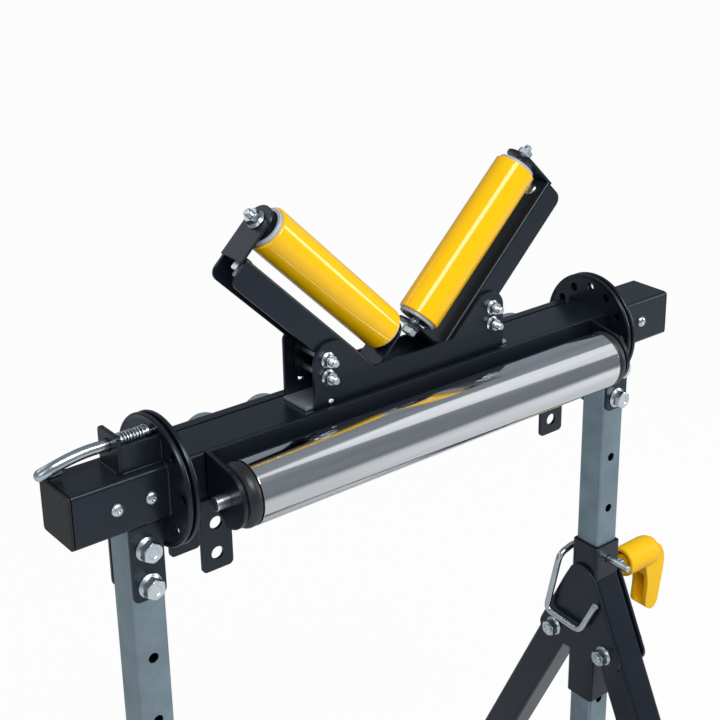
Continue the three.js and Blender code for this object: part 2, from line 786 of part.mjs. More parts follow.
// The outline's depth runs down the leg.
function legTube(x, shape, from, to) {
  return extruded(shape, to - from, legPoint(x, from, 0), LEG_UP, LEG_RIGHT, LEG_STEP_COUNT);
}

function makeLegFrame() {
  const tube = (x) =>
    legTube(
      x,
      hollowShape(LEG_DEEP, LEG_WIDE, LEG_CORNER, LEG_WALL),
      -LEG_HEAD,
      LEG_TO_FLOOR + LEG_DEEP,
    );
  const reach = POST_X - LEG_WIDE / 2 + LEG_WALL / 2;
  const crossBar = extruded(
    hollowShape(BAR_SIZE, BAR_SIZE, BAR_CORNER, LEG_WALL),
    2 * reach,
    legPoint(-reach, BAR_ALONG_LEG, 0),
    LEG_UP,
    BAR_UP,
    LEG_STEP_COUNT,
  );
  const opening = (side) =>
    bar(
      legPoint(side * (reach - 2 * LEG_WALL), BAR_ALONG_LEG, 0),
      legPoint(side * (reach + 2 * LEG_WALL), BAR_ALONG_LEG, 0),
      BAR_HOLE,
      SMALL_SIDES,
    );
  const pivot = (side) =>
    bar(
      [side * (POST_X - LEG_WIDE / 2 - PAST), -PIVOT_Y, PIVOT_Z],
      [side * (POST_X + LEG_WIDE / 2 + PAST), -PIVOT_Y, PIVOT_Z],
      M8_SHANK + HOLE_FIT,
      SMALL_SIDES,
    );
  const keep = box(
    [-POST_X - LEG_WIDE, -LEG_SPREAD, FLOOR + SOLE],
    [POST_X + LEG_WIDE, -SLEEVE_HALF - FIT, PIVOT_Z + LEG_HEAD + LEG_DEEP],
  );
  return cut(
    join(tube(-POST_X), tube(POST_X), crossBar).intersect(keep),
    opening(-1),
    opening(1),
    pivot(-1),
    pivot(1),
  );
}

function makeFoot() {
  const grip = FOOT_TALL / LEG_DOWN;
  const end = LEG_TO_FLOOR + LEG_DEEP;
  const outer = legTube(
    POST_X,
    roundedShape(LEG_DEEP + 2 * FOOT_WALL, LEG_WIDE + 2 * FOOT_WALL, FOOT_CORNER),
    LEG_TO_FLOOR - grip,
    end,
  );
  const room = legTube(
    POST_X,
    roundedShape(LEG_DEEP + 2 * FIT, LEG_WIDE + 2 * FIT, LEG_CORNER),
    LEG_TO_FLOOR - grip - LEG_DEEP,
    end,
  );
  const above = (low) =>
    box([POST_X - LEG_WIDE, -LEG_SPREAD, low], [POST_X + LEG_WIDE, 0, PIVOT_Z]);
  return outer.intersect(above(FLOOR)).subtract(room.intersect(above(FLOOR + SOLE - FIT)));
}

function toBack(made) {
  const geometry = geometryOf(made);
  return solid(geometry.applyMatrix4(new THREE.Matrix4().makeScale(1, -1, 1)));
}

const legFrame = makeLegFrame();
const foot = makeFoot();
addPiece("leg_frame_front", legFrame, BLACK);
addPiece("leg_frame_back", toBack(legFrame), BLACK);
addPiece("foot_front_right", foot, RUBBER);
addPiece("foot_front_left", mirrored(foot), RUBBER);
addPiece("foot_back_right", toBack(foot), RUBBER);
addPiece("foot_back_left", toBack(mirrored(foot)), RUBBER);

// Wire lock pins: a straight pin through sleeve and post, bent round into a bail

const bail = BAIL_SHARES.map(([reachShare, dropShare]) => [
  BAIL_X,
  reachShare * BAIL_REACH,
  PIN_Z + dropShare * BAIL_DROP,
]);
const lockPin = wire(
  [
    [POST_X, -SLEEVE_HALF - LOCK_POINT_OUT, PIN_Z],
    [POST_X, LOCK_HEEL_SHARE * BAIL_REACH, PIN_Z],
    ...bail,
  ],
  LOCK_WIRE,
  BAIL_BEND,
);
addPiece("lock_pin_right", lockPin, ZINC);
addPiece("lock_pin_left", mirrored(lockPin), ZINC);

// Clamp levers: a moulded lever with a round hub on a steel stud

function handleOutline(shares) {
  return outline(
    shares.map(([x, z, corner]) => [
      HANDLE_START + x * HANDLE_WIDE,
      HANDLE_LOW + z * HANDLE_TALL,
      corner * HANDLE_WIDE,
    ]),
  );
}

function makeLever() {
  const dome = HUB_DOME_SHARES.map(([radiusShare, alongShare]) => [
    radiusShare * HUB_RADIUS,
    (1 + alongShare) * HUB_LENGTH,
  ]);
  const hub = revolved(
    [
      [0, 0],
      [HUB_RADIUS - HUB_CHAMFER, 0],
      [HUB_RADIUS, HUB_CHAMFER],
      [HUB_RADIUS, HUB_LENGTH],
      ...dome,
    ],
    [HUB_START, 0, CLAMP_Z],
    [1, 0, 0],
  );
  const flatHalf = HANDLE_HALF - HANDLE_BEVEL;
  const blank = new THREE.ExtrudeGeometry(handleOutline(HANDLE_SHARES), {
    depth: 2 * flatHalf,
    bevelEnabled: true,
    bevelThickness: HANDLE_BEVEL,
    bevelSize: HANDLE_BEVEL,
    bevelOffset: -HANDLE_BEVEL,
    bevelSegments: 1,
  });
  const place = new THREE.Matrix4().makeBasis(
    new THREE.Vector3(1, 0, 0),
    new THREE.Vector3(0, 0, 1),
    new THREE.Vector3(0, -1, 0),
  );
  place.setPosition(0, flatHalf, 0);
  const handle = solid(blank.applyMatrix4(place));
  const groove = extruded(
    handleOutline(GROOVE_SHARES),
    2 * GROOVE_HALF,
    [0, GROOVE_HALF, 0],
    ...ALONG_MINUS_Y,
  );
  const stud = bar(
    [POST_X + POST_SIZE / 2 + CLAMP_STUD_FIT, 0, CLAMP_Z],
    [HUB_START + HUB_CHAMFER, 0, CLAMP_Z],
    CLAMP_STUD,
    SMALL_SIDES,
  );
  return cut(join(hub, handle), groove).add(stud);
}

const lever = makeLever();
addPiece("clamp_lever_right", lever, LEVER);
addPiece("clamp_lever_left", mirrored(lever), LEVER);

// Posts

// A drill through both walls of a post, or of the saddle round it.
function postDrill(z, radius, sides) {
  const reach = SADDLE_OUTER + PAST;
  return bar([POST_X, -reach, z], [POST_X, reach, z], radius, sides);
}

const saddleDrills = SADDLE_BOLT_Z.map((z) => postDrill(z, M8_SHANK + HOLE_FIT, SMALL_SIDES));

function makePost() {
  const tube = extruded(
    hollowShape(POST_SIZE, POST_SIZE, POST_CORNER, POST_WALL),
    POST_TOP - POST_BOTTOM,
    [POST_X, 0, POST_BOTTOM],
    ...ALONG_Z,
    LEG_STEP_COUNT,
  );
  const pinHoles = Array.from({ length: HOLE_COUNT }, (_, i) =>
    postDrill(FIRST_HOLE - i * HOLE_PITCH, LOCK_HOLE, HEX_SIDES),
  );
  return cut(tube, ...pinHoles, ...saddleDrills);
}

const post = makePost();
addPiece("post_right", post, ZINC);
addPiece("post_left", mirrored(post), ZINC);

// Stubs: a short square tube with its index disc and the saddle that grips the post

// The profile of a plate with a rolled rim; way is the direction in which the rim rolls.
function discRim(face, way) {
  return [
    [DISC_RADIUS - DISC_EDGE, face],
    [DISC_RADIUS, face + way * DISC_TURN],
    [DISC_RADIUS, face + way * (DISC_RIM - DISC_EDGE)],
    [DISC_RADIUS - DISC_EDGE, face + way * DISC_RIM],
    [DISC_RADIUS - DISC_LIP, face + way * DISC_PLATE],
  ];
}

function indexHoles(count, x) {
  return Array.from({ length: count }, (_, i) => {
    const turn = (i / count) * 2 * Math.PI;
    const y = INDEX_RADIUS * Math.sin(turn);
    const z = INDEX_RADIUS * Math.cos(turn);
    return bar([x - PAST, y, z], [x + PAST, y, z], INDEX_HOLE, HEX_SIDES);
  });
}

function makeSaddle() {
  const sideShape = outline([
    [POST_X - SADDLE_HALF, -BEAM_TOP + SINK, 0],
    [POST_X - SADDLE_HALF, SADDLE_LOW, SADDLE_CORNER],
    [POST_X + SADDLE_HALF, SADDLE_LOW, SADDLE_CORNER],
    [POST_X + SADDLE_HALF, -BEAM_TOP + SINK, 0],
  ]);
  const plateAt = (y) => extruded(sideShape, SADDLE_WALL, [0, y, 0], ...ALONG_MINUS_Y);
  const web = box(
    [POST_X - SADDLE_HALF, -SADDLE_OUTER, -BEAM_TOP - SADDLE_WALL],
    [POST_X + SADDLE_HALF, SADDLE_OUTER, -BEAM_TOP + SINK],
  );
  return cut(join(web, plateAt(SADDLE_OUTER), plateAt(-SADDLE_INNER)), ...saddleDrills);
}

// The folded guide of the index pin: a tab square to the pin, and a guard beside the spring.
function makePinGuide() {
  const low = BEAM_TOP - SINK;
  const tab = extruded(
    outline([
      [-TAB_HALF, low, 0],
      [TAB_HALF, low, 0],
      [TAB_HALF, TAB_TOP, TAB_CORNER],
      [-TAB_HALF, TAB_TOP, TAB_CORNER],
    ]),
    TAB_THICK,
    [-TAB_X - TAB_THICK, 0, 0],
    ...ALONG_X,
  );
  const guard = box(
    [DISC_FACE_X + DISC_PLATE - SINK, -TAB_HALF, low],
    [-TAB_X - SINK, -TAB_HALF + GUARD_WALL, GUARD_TOP],
  );
  const rodHole = bar(
    [-TAB_X - TAB_THICK - PAST, 0, INDEX_RADIUS],
    [-TAB_X + PAST, 0, INDEX_RADIUS],
    INDEX_ROD + HOLE_FIT,
    SMALL_SIDES,
  );
  return cut(join(tab, guard), rodHole);
}

function makeStub() {
  const spigotStart = DISC_FACE_X - SPIGOT_LENGTH;
  const disc = revolved(
    [
      [0, spigotStart],
      [SPIGOT_RADIUS - SPIGOT_CHAMFER, spigotStart],
      [SPIGOT_RADIUS, spigotStart + SPIGOT_CHAMFER],
      [SPIGOT_RADIUS, DISC_FACE_X],
      ...discRim(DISC_FACE_X, 1),
      [0, DISC_FACE_X + DISC_PLATE],
    ],
    [0, 0, 0],
    [1, 0, 0],
    DISC_SIDES,
  );
  const tubeStart = DISC_FACE_X + DISC_PLATE - SINK;
  const tube = extruded(
    hollowShape(BEAM_DEPTH, BEAM_TALL, BEAM_CORNER, BEAM_WALL),
    STUB_END - tubeStart,
    [tubeStart, 0, 0],
    ...ALONG_X,
    TUBE_STEP_COUNT,
  );
  return cut(join(disc, tube, makeSaddle()), ...indexHoles(FIXED_HOLE_COUNT, DISC_FACE_X));
}

function makeEndCap() {
  const plate = extruded(
    roundedShape(BEAM_DEPTH, BEAM_TALL, BEAM_CORNER),
    CAP_PLATE,
    [STUB_END + FIT, 0, 0],
    ...ALONG_X,
    TUBE_STEP_COUNT,
  );
  const inside = 2 * (BEAM_WALL + FIT);
  const plug = extruded(
    hollowShape(BEAM_DEPTH - inside, BEAM_TALL - inside, CAP_CORNER, CAP_WALL),
    CAP_PLUG + HOLE_FIT,
    [STUB_END + FIT - CAP_PLUG, 0, 0],
    ...ALONG_X,
    CORNER_STEP_COUNT,
  );
  return join(plate, plug);
}

const stub = makeStub();
const saddleBolt = (z) =>
  boltAndNut([POST_X, -SADDLE_OUTER - FIT, z], [0, 1, 0], 2 * (SADDLE_OUTER + FIT), M8, M8_TIP);
const endCap = makeEndCap();
addPiece("stub_left", mirrored(join(stub, makePinGuide())), BLACK);
addPiece("stub_right", stub, BLACK);
for (const [label, side] of SIDES) {
  addPiece(`end_cap_${label}`, onSide(side, endCap), RUBBER);
  addPiece(`saddle_bolt_upper_${label}`, onSide(side, saddleBolt(UPPER_BOLT_Z)), ZINC);
  addPiece(`saddle_bolt_lower_${label}`, onSide(side, saddleBolt(LOWER_BOLT_Z)), ZINC);
}

// Index pin: a stepped rod through the tab, with a collar that the spring pushes to the
// discs, and a bent hook to pull it by

function makeIndexPin() {
  const collarEnd = COLLAR_X + COLLAR_THICK;
  const noseEnd = PIN_TIP_X - PIN_POINT;
  const point = bar(
    [PIN_TIP_X, 0, INDEX_RADIUS],
    [noseEnd, 0, INDEX_RADIUS],
    PIN_NOSE - AXLE_CHAMFER,
    SMALL_SIDES,
    PIN_NOSE,
  );
  const nose = bar(
    [noseEnd, 0, INDEX_RADIUS],
    [COLLAR_X, 0, INDEX_RADIUS],
    PIN_NOSE,
    SMALL_SIDES,
  );
  const collar = bar(
    [COLLAR_X, 0, INDEX_RADIUS],
    [collarEnd, 0, INDEX_RADIUS],
    COLLAR_RADIUS,
    ROUND_SIDES,
  );
  const hook = HOOK_SHARES.map(
    ([along, across, up]) =>
      new THREE.Vector3(
        TAB_X - along * HOOK_LENGTH,
        across * HOOK_ACROSS,
        INDEX_RADIUS + up * HOOK_DROP,
      ),
  );
  const start = new THREE.Vector3(COLLAR_X + COLLAR_THICK / 2, 0, INDEX_RADIUS);
  const curve = new THREE.CatmullRomCurve3([start, ...hook], false, "centripetal");
  const rings = [0, ...HOOK_RING_SHARES].map((share) => ({
    at: curve.getPointAt(share),
    way: curve.getTangentAt(share),
  }));
  return join(point, nose, collar, ringTube(rings, INDEX_ROD, SMALL_SIDES));
}

function makeSpring() {
  const from = TAB_X + TAB_THICK + FIT;
  const to = COLLAR_X - FIT;
  const lead = 2 * SPRING_WIRE;
  const steps = Math.round(SPRING_TURN_COUNT * SPRING_STEP_COUNT);
  const reach = to - from - 2 * lead;
  const rings = [];
  const start = new THREE.Vector3(from, 0, INDEX_RADIUS + SPRING_RADIUS);
  rings.push({ at: start, way: new THREE.Vector3(1, 0, 0) });
  for (let i = 0; i <= steps; i += 1) {
    const turn = (i / SPRING_STEP_COUNT) * 2 * Math.PI;
    const x = from + lead + (reach * i) / steps;
    const at = new THREE.Vector3(
      x,
      SPRING_RADIUS * Math.sin(turn),
      INDEX_RADIUS + SPRING_RADIUS * Math.cos(turn),
    );
    const rate = reach / (SPRING_TURN_COUNT * 2 * Math.PI);
    const way = new THREE.Vector3(
      rate,
      SPRING_RADIUS * Math.cos(turn),
      -SPRING_RADIUS * Math.sin(turn),
    ).normalize();
    rings.push({ at, way });
  }
  const last = rings[rings.length - 1].at.clone();
  rings.push({ at: last.setX(to), way: new THREE.Vector3(1, 0, 0) });
  // least gap between turns, from points more than half a turn apart
  let least = Infinity;
  rings.forEach((a, i) => {
    rings.forEach((b, k) => {
      if (k > i + SPRING_STEP_COUNT / 2) {
        least = Math.min(least, a.at.distanceTo(b.at) - 2 * SPRING_WIRE);
      }
    });
  });
  console.log(`index spring: least gap between turns ${least.toFixed(2)} mm`);
  return ringTube(rings, SPRING_WIRE, WIRE_SIDES);
}

addPiece("index_pin", makeIndexPin(), ZINC);
addPiece("index_spring", makeSpring(), ZINC);

// Beam: the turning square tube with its two index discs

function makeBeam() {
  const bore = SPIGOT_RADIUS + FIT;
  const disc = revolved(
    [
      [bore, TURN_FACE_X],
      ...discRim(TURN_FACE_X, -1),
      [bore, TURN_FACE_X - DISC_PLATE],
      [bore, TURN_FACE_X],
    ],
    [0, 0, 0],
    [1, 0, 0],
    DISC_SIDES,
  );
  const half = TURN_FACE_X - DISC_PLATE + SINK;
  const tube = extruded(
    hollowShape(BEAM_DEPTH, BEAM_TALL, BEAM_CORNER, BEAM_WALL),
    2 * half,
    [-half, 0, 0],
    ...ALONG_X,
    TUBE_STEP_COUNT,
  );
  return cut(
    join(tube, disc, mirrored(disc)),
    ...indexHoles(TURN_HOLE_COUNT, TURN_FACE_X),
    ...indexHoles(TURN_HOLE_COUNT, -TURN_FACE_X),
  );
}

addPiece("beam", makeBeam(), BLACK);

// Roller cradle: a long plate with an ear bent out at each end

function makeCradle() {
  const low = ROLLER_Z - CRADLE_UNDER;
  const high = BEAM_TOP + CRADLE_OVER_BEAM;
  const plate = box([-CRADLE_END, CRADLE_FRONT, low], [CRADLE_END, CRADLE_BACK, high]);
  const start = THREE.MathUtils.degToRad(EAR_START_DEGREES);
  const end = THREE.MathUtils.degToRad(EAR_END_DEGREES);
  const shape = new THREE.Shape();
  shape.moveTo(CRADLE_FRONT + SINK, low);
  shape.lineTo(CRADLE_FRONT + SINK, high);
  shape.absarc(ROLLER_Y + EAR_IN, ROLLER_Z, EAR_RADIUS, start, end, false);
  shape.closePath();
  const ear = (x) => extruded(shape, EAR_THICK, [x, 0, 0], ...ALONG_X, EAR_STEP_COUNT);
  const axleHole = bar(
    [-CRADLE_END - PAST, ROLLER_Y, ROLLER_Z],
    [CRADLE_END + PAST, ROLLER_Y, ROLLER_Z],
    AXLE_RADIUS + FIT,
  );
  return cut(join(plate, ear(-CRADLE_END), ear(CRADLE_END - EAR_THICK)), axleHole);
}

function makeAxle() {
  const straight = AXLE_HALF - AXLE_CHAMFER;
  return revolved(
    [
      [0, -AXLE_HALF],
      [AXLE_RADIUS - AXLE_CHAMFER, -AXLE_HALF],
      [AXLE_RADIUS, -straight],
      [AXLE_RADIUS, straight],
      [AXLE_RADIUS - AXLE_CHAMFER, AXLE_HALF],
      [0, AXLE_HALF],
    ],
    [0, ROLLER_Y, ROLLER_Z],
    [1, 0, 0],
  );
}

function makeRoller() {
  const bore = ROLLER_RADIUS - ROLLER_WALL;
  return revolved(
    [
      [bore, -ROLLER_HALF],
      [ROLLER_RADIUS, -ROLLER_HALF],
      [ROLLER_RADIUS, ROLLER_HALF],
      [bore, ROLLER_HALF],
      [bore, -ROLLER_HALF],
    ],
    [0, ROLLER_Y, ROLLER_Z],
    [1, 0, 0],
    ROLLER_SIDES,
  );
}

function makeRollerCap() {
  const start = ROLLER_HALF + FIT;
  const bore = AXLE_RADIUS + FIT;
  const plug = ROLLER_RADIUS - ROLLER_WALL - FIT;
  const shoulder = CAP_SHOULDER_SHARES.map(([inShare, alongShare]) => [
    (1 - inShare) * ROLLER_RADIUS,
    start + alongShare * (ROLLER_CAP_END - start),
  ]);
  return revolved(
    [
      [bore, start - CAP_PLUG_DEEP],
      [plug, start - CAP_PLUG_DEEP],
      [plug, start],
      [ROLLER_RADIUS, start],
      ...shoulder,
      [bore, ROLLER_CAP_END],
      [bore, start - CAP_PLUG_DEEP],
    ],
    [0, ROLLER_Y, ROLLER_Z],
    [1, 0, 0],
    ROLLER_SIDES,
  );
}

addPiece("roller_cradle", makeCradle(), BLACK);
addPiece("roller_axle", makeAxle(), ZINC);
addPiece("long_roller", makeRoller(), CHROME);
addPiece("long_roller_cap_right", makeRollerCap(), RUBBER);
addPiece("long_roller_cap_left", mirrored(makeRollerCap()), RUBBER);

// Timber brackets: an upturned channel under the beam, its back side longer

function makeTimberBracket(middle) {
  const inner = BEAM_DEPTH / 2 + FIT;
  const outer = inner + TIMBER_WALL;
  const under = -BEAM_TOP - FIT;
  const left = middle - TIMBER_HALF;
  const right = middle + TIMBER_HALF;
  const strap = (high, low, y) =>
    extruded(
      outline([
        [left, low, TIMBER_CORNER],
        [right, low, TIMBER_CORNER],
        [right, high, 0],
        [left, high, 0],
      ]),
      TIMBER_WALL,
      [0, y, 0],
      ...ALONG_MINUS_Y,
    );
  const front = strap(-BEAM_TOP + TIMBER_LAP, -BEAM_TOP - TIMBER_FRONT_DOWN, -inner);
  const back = strap(under, -BEAM_TOP - TIMBER_BACK_DOWN, outer);
  const web = box(
    [left, -inner - TIMBER_WALL / 2, under - TIMBER_WALL],
    [right, inner + TIMBER_WALL / 2, under],
  );
  const hole = (z) =>
    bar([middle, -outer - PAST, z], [middle, outer + PAST, z], TIMBER_HOLE, SMALL_SIDES);
  const upper = -BEAM_TOP - TIMBER_HOLE_DOWN;
  return cut(join(front, back, web), hole(upper), hole(upper - TIMBER_HOLE_PITCH));
}

addPiece("timber_bracket_left", makeTimberBracket(TIMBER_LEFT_IN - CRADLE_END), BLACK);
addPiece("timber_bracket_right", makeTimberBracket(CRADLE_END - TIMBER_RIGHT_IN), BLACK);

// Ball rail: a channel on the back of the beam with a pressed cup for each ball

const ballAt = (i) => (i - (BALL_COUNT - 1) / 2) * BALL_PITCH;

function makeRail() {
  const near = BEAM_DEPTH / 2 + FIT;
  const far = BEAM_DEPTH / 2 + RAIL_DEPTH;
  const half = BEAM_TOP - SINK;
  const section = outline([
    [near, half, 0],
    [near, half - RAIL_WALL, 0],
    [far - RAIL_WALL, half - RAIL_WALL, 0],
    [far - RAIL_WALL, -half + RAIL_WALL, 0],
    [near, -half + RAIL_WALL, 0],
    [near, -half, 0],
    [far, -half, RAIL_CORNER],
    [far, half, RAIL_CORNER],
  ]);
  const channel = extruded(section, 2 * RAIL_HALF, [-RAIL_HALF, 0, 0], ...ALONG_X, RAIL_STEP_COUNT);
  const mouth = BALL_Y + CUP_OVER;
  const cup = (x) =>
    revolved(
      [
        [0, far - RAIL_WALL],
        [BALL_RADIUS + CUP_FOOT, far - RAIL_WALL],
        [BALL_RADIUS + CUP_SIDE, far + CUP_FOOT_TALL],
        [BALL_RADIUS + CUP_SIDE, far + CUP_SIDE_TALL],
        [BALL_RADIUS + CUP_MOUTH, mouth],
        [0, mouth],
      ],
      [x, 0, 0],
      [0, 1, 0],
      CUP_SIDES,
    );
  const room = (x) =>
    revolved(
      [
        [0, near],
        [BALL_RADIUS + FIT, near],
        [BALL_RADIUS + FIT, BALL_Y + CUP_GRIP],
        [BALL_RADIUS, mouth + HOLE_FIT],
        [0, mouth + HOLE_FIT],
      ],
      [x, 0, 0],
      [0, 1, 0],
      CUP_SIDES,
    );
  const places = Array.from({ length: BALL_COUNT }, (_, i) => ballAt(i));
  return cut(join(channel, ...places.map(cup)), ...places.map(room));
}

addPiece("ball_rail", makeRail(), BLACK);
for (let i = 0; i < BALL_COUNT; i += 1) {
  const sphere = new THREE.SphereGeometry(BALL_RADIUS - FIT, CUP_SIDES, BALL_RING_COUNT);
  sphere.translate(ballAt(i), BALL_Y, 0);
  addPiece(`ball_${i + 1}`, solid(sphere), CHROME);
}

// V head: base plate, yoke plates, arms, end tabs and their bolts

function makeVBase() {
  const low = BEAM_TOP + FIT;
  return box([-BASE_HALF, -ARM_HALF_Y, low], [BASE_HALF, ARM_HALF_Y, low + BASE_PLATE]);
}

// The yoke's sides run up beside the notch at 45 degrees, like the arms.
function yokeShape(edge, over, corner) {
  const side = YOKE_BOLT_X + edge;
  const low = BEAM_TOP + YOKE_LIFT;
  const high = YOKE_UPPER_BOLT + over;
  const floor = BEAM_TOP + YOKE_NOTCH_UP;
  const shoulder = YOKE_NOTCH_HALF + high - floor;
  const most = YOKE_FLAT_SHARE * (side - shoulder);
  const half = [
    [side, low, YOKE_LOW_CORNER],
    [side, high, Math.min(corner, most)],
    [shoulder, high, Math.min(YOKE_FRONT_CORNER, most)],
    [YOKE_NOTCH_HALF, floor, YOKE_NOTCH_CORNER],
  ];
  const other = half.map(([x, z, radius]) => [-x, z, radius]).reverse();
  return outline([...half, ...other]);
}

function makeYokePlate(shape, start, holes) {
  const plate = extruded(shape, YOKE_WALL, [0, start, 0], ...ALONG_MINUS_Y);
  const reach = YOKE_OUTER + PAST;
  const drill = ([x, z, radius]) => bar([x, -reach, z], [x, reach, z], radius, SMALL_SIDES);
  const both = holes.flatMap(([x, z, radius]) => [
    [x, z, radius],
    [-x, z, radius],
  ]);
  return cut(plate, ...both.map(drill));
}

const yokeDrills = YOKE_BOLTS.map(([x, z]) => [x, z, M6_SHANK + HOLE_FIT]);
const extraHole = [
  YOKE_BOLT_X + EXTRA_HOLE_OUT,
  YOKE_LOWER_BOLT - EXTRA_HOLE_DOWN,
  EXTRA_HOLE,
];
addPiece("v_base", makeVBase(), ZINC);
addPiece(
  "yoke_plate_front",
  makeYokePlate(
    yokeShape(YOKE_FRONT_EDGE, YOKE_FRONT_OVER, YOKE_FRONT_CORNER),
    -YOKE_INNER,
    yokeDrills,
  ),
  BLACK,
);
addPiece(
  "yoke_plate_back",
  makeYokePlate(
    yokeShape(YOKE_BACK_EDGE, YOKE_BACK_OVER, YOKE_BACK_CORNER),
    YOKE_OUTER,
    [...yokeDrills, extraHole],
  ),
  BLACK,
);

// The right arm: a channel with its web on top, lobes for the yoke bolts,
// and an inner tab bent up from the web
const ARM_RIGHT = [Math.SQRT1_2, 0, Math.SQRT1_2];
const ARM_UP = [-Math.SQRT1_2, 0, Math.SQRT1_2];

// A point on the right arm.
function armPoint(along, over) {
  return [(along - over) / Math.SQRT2, 0, HEAD_Z + (along + over) / Math.SQRT2];
}

// An outline of [along, over] points, as wide as the given half width on both sides.
function armExtrude(corners, half) {
  return extruded(outline(corners), 2 * half, [0, half, HEAD_Z], ARM_RIGHT, ARM_UP);
}

function makeArm() {
  const strip = armExtrude(
    [
      [ARM_START, ARM_LOW, ARM_START_CORNER],
      [ARM_END, ARM_LOW, ARM_END_CORNER],
      [ARM_END, ARM_TOP, ARM_EDGE],
      [ARM_START, ARM_TOP, ARM_EDGE],
    ],
    ARM_HALF_Y,
  );
  const low = YOKE_LOWER_BOLT - LOBE_EDGE;
  const high = YOKE_UPPER_BOLT + LOBE_EDGE;
  const lobe = extruded(
    outline([
      [YOKE_BOLT_X - LOBE_HALF, low, LOBE_SMALL_CORNER],
      [YOKE_BOLT_X + LOBE_HALF, low, LOBE_CORNER],
      [YOKE_BOLT_X + LOBE_HALF, high, LOBE_CORNER],
      [YOKE_BOLT_X - LOBE_HALF, high, LOBE_SMALL_CORNER],
    ]),
    2 * ARM_HALF_Y,
    [0, ARM_HALF_Y, 0],
    ...ALONG_MINUS_Y,
  );
  const hollow = armExtrude(
    [
      [ARM_START - PAST, -YOKE_BOLT_X],
      [ARM_END + PAST, -YOKE_BOLT_X],
      [ARM_END + PAST, ARM_TOP - ARM_WALL],
      [ARM_START - PAST, ARM_TOP - ARM_WALL],
    ],
    ARM_HALF_Y - ARM_WALL,
  );
  const innerTab = tabPlate(ARM_START, ARM_TOP - ARM_WALL + SINK);
  const aboveBase = box(
    [0, -YOKE_OUTER, BEAM_TOP + ARM_OVER_BEAM],
    [ARM_END, YOKE_OUTER, HEAD_Z + ARM_END],
  );
  const reach = YOKE_OUTER + PAST;
  const drill = ([x, z]) =>
    bar([x, -reach, z], [x, reach, z], M6_SHANK + HOLE_FIT, SMALL_SIDES);
  return cut(
    join(cut(join(strip, lobe), hollow), innerTab).intersect(aboveBase),
    ...YOKE_BOLTS.map(drill),
    axleHoleInTab(ARM_START),
  );
}

// A tab square to the arm with a round top about the roller's bolt.
function tabPlate(along, from) {
  const shape = new THREE.Shape();
  shape.moveTo(-V_TAB_HALF, from);
  shape.lineTo(V_TAB_HALF, from);
  shape.lineTo(V_TAB_HALF, V_ROLLER_OVER);
  shape.absarc(0, V_ROLLER_OVER, V_TAB_HALF, 0, Math.PI, false);
  shape.closePath();
  return extruded(shape, V_TAB_THICK, armPoint(along, 0), [0, 1, 0], ARM_UP, TAB_STEP_COUNT);
}

function axleHoleInTab(along) {
  return bar(
    armPoint(along - PAST, V_ROLLER_OVER),
    armPoint(along + V_TAB_THICK + PAST, V_ROLLER_OVER),
    M6_SHANK + HOLE_FIT,
    SMALL_SIDES,
  );
}

function makeOuterTab() {
  const under = ARM_TOP - ARM_WALL - FIT;
  const low = under - V_TAB_THICK;
  const foot = armExtrude(
    [
      [ARM_END - V_FOOT_LENGTH, low],
      [V_TAB_ALONG + V_TAB_THICK / 2, low],
      [V_TAB_ALONG + V_TAB_THICK / 2, under],
      [ARM_END - V_FOOT_LENGTH, under],
    ],
    V_FOOT_HALF,
  );
  return cut(join(tabPlate(V_TAB_ALONG, low), foot), axleHoleInTab(V_TAB_ALONG));
}

function makeVRoller() {
  const length = V_ROLLER_END - V_ROLLER_START;
  const bore = M6_SHANK + HOLE_FIT;
  const lip = V_ROLLER_RADIUS - V_EDGE - V_RIM;
  const recess = lip - V_RECESS_EDGE;
  return revolved(
    [
      [bore, V_RECESS],
      [recess, V_RECESS],
      [lip, 0],
      [V_ROLLER_RADIUS - V_EDGE, 0],
      [V_ROLLER_RADIUS, V_EDGE],
      [V_ROLLER_RADIUS, length - V_EDGE],
      [V_ROLLER_RADIUS - V_EDGE, length],
      [lip, length],
      [recess, length - V_RECESS],
      [bore, length - V_RECESS],
      [bore, V_RECESS],
    ],
    armPoint(V_ROLLER_START, V_ROLLER_OVER),
    ARM_RIGHT,
    ROLLER_SIDES,
  );
}

function makeVAxle() {
  const inner = ARM_START - FIT;
  const outer = V_TAB_ALONG + V_TAB_THICK + FIT;
  return boltAndNut(
    armPoint(inner, V_ROLLER_OVER),
    ARM_RIGHT,
    outer - inner,
    M6_FLANGE,
    AXLE_TIP,
  );
}

const arm = makeArm();
const outerTab = makeOuterTab();
const vRoller = makeVRoller();
const vAxle = makeVAxle();
const yokeBolt = ([x, z]) =>
  boltAndNut([x, YOKE_OUTER + FIT, z], [0, -1, 0], 2 * (YOKE_OUTER + FIT), M6, M6_TIP);
for (const [label, side] of SIDES) {
  addPiece(`v_arm_${label}`, onSide(side, arm), BLACK);
  addPiece(`v_tab_${label}`, onSide(side, outerTab), BLACK);
  addPiece(`v_roller_${label}`, onSide(side, vRoller), YELLOW);
  addPiece(`v_axle_${label}`, onSide(side, vAxle), ZINC);
  addPiece(`yoke_bolt_upper_${label}`, onSide(side, yokeBolt(YOKE_BOLTS[0])), ZINC);
  addPiece(`yoke_bolt_lower_${label}`, onSide(side, yokeBolt(YOKE_BOLTS[1])), ZINC);
}

export default part;
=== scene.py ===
import math

import bmesh
import bpy
from mathutils import Matrix, Vector


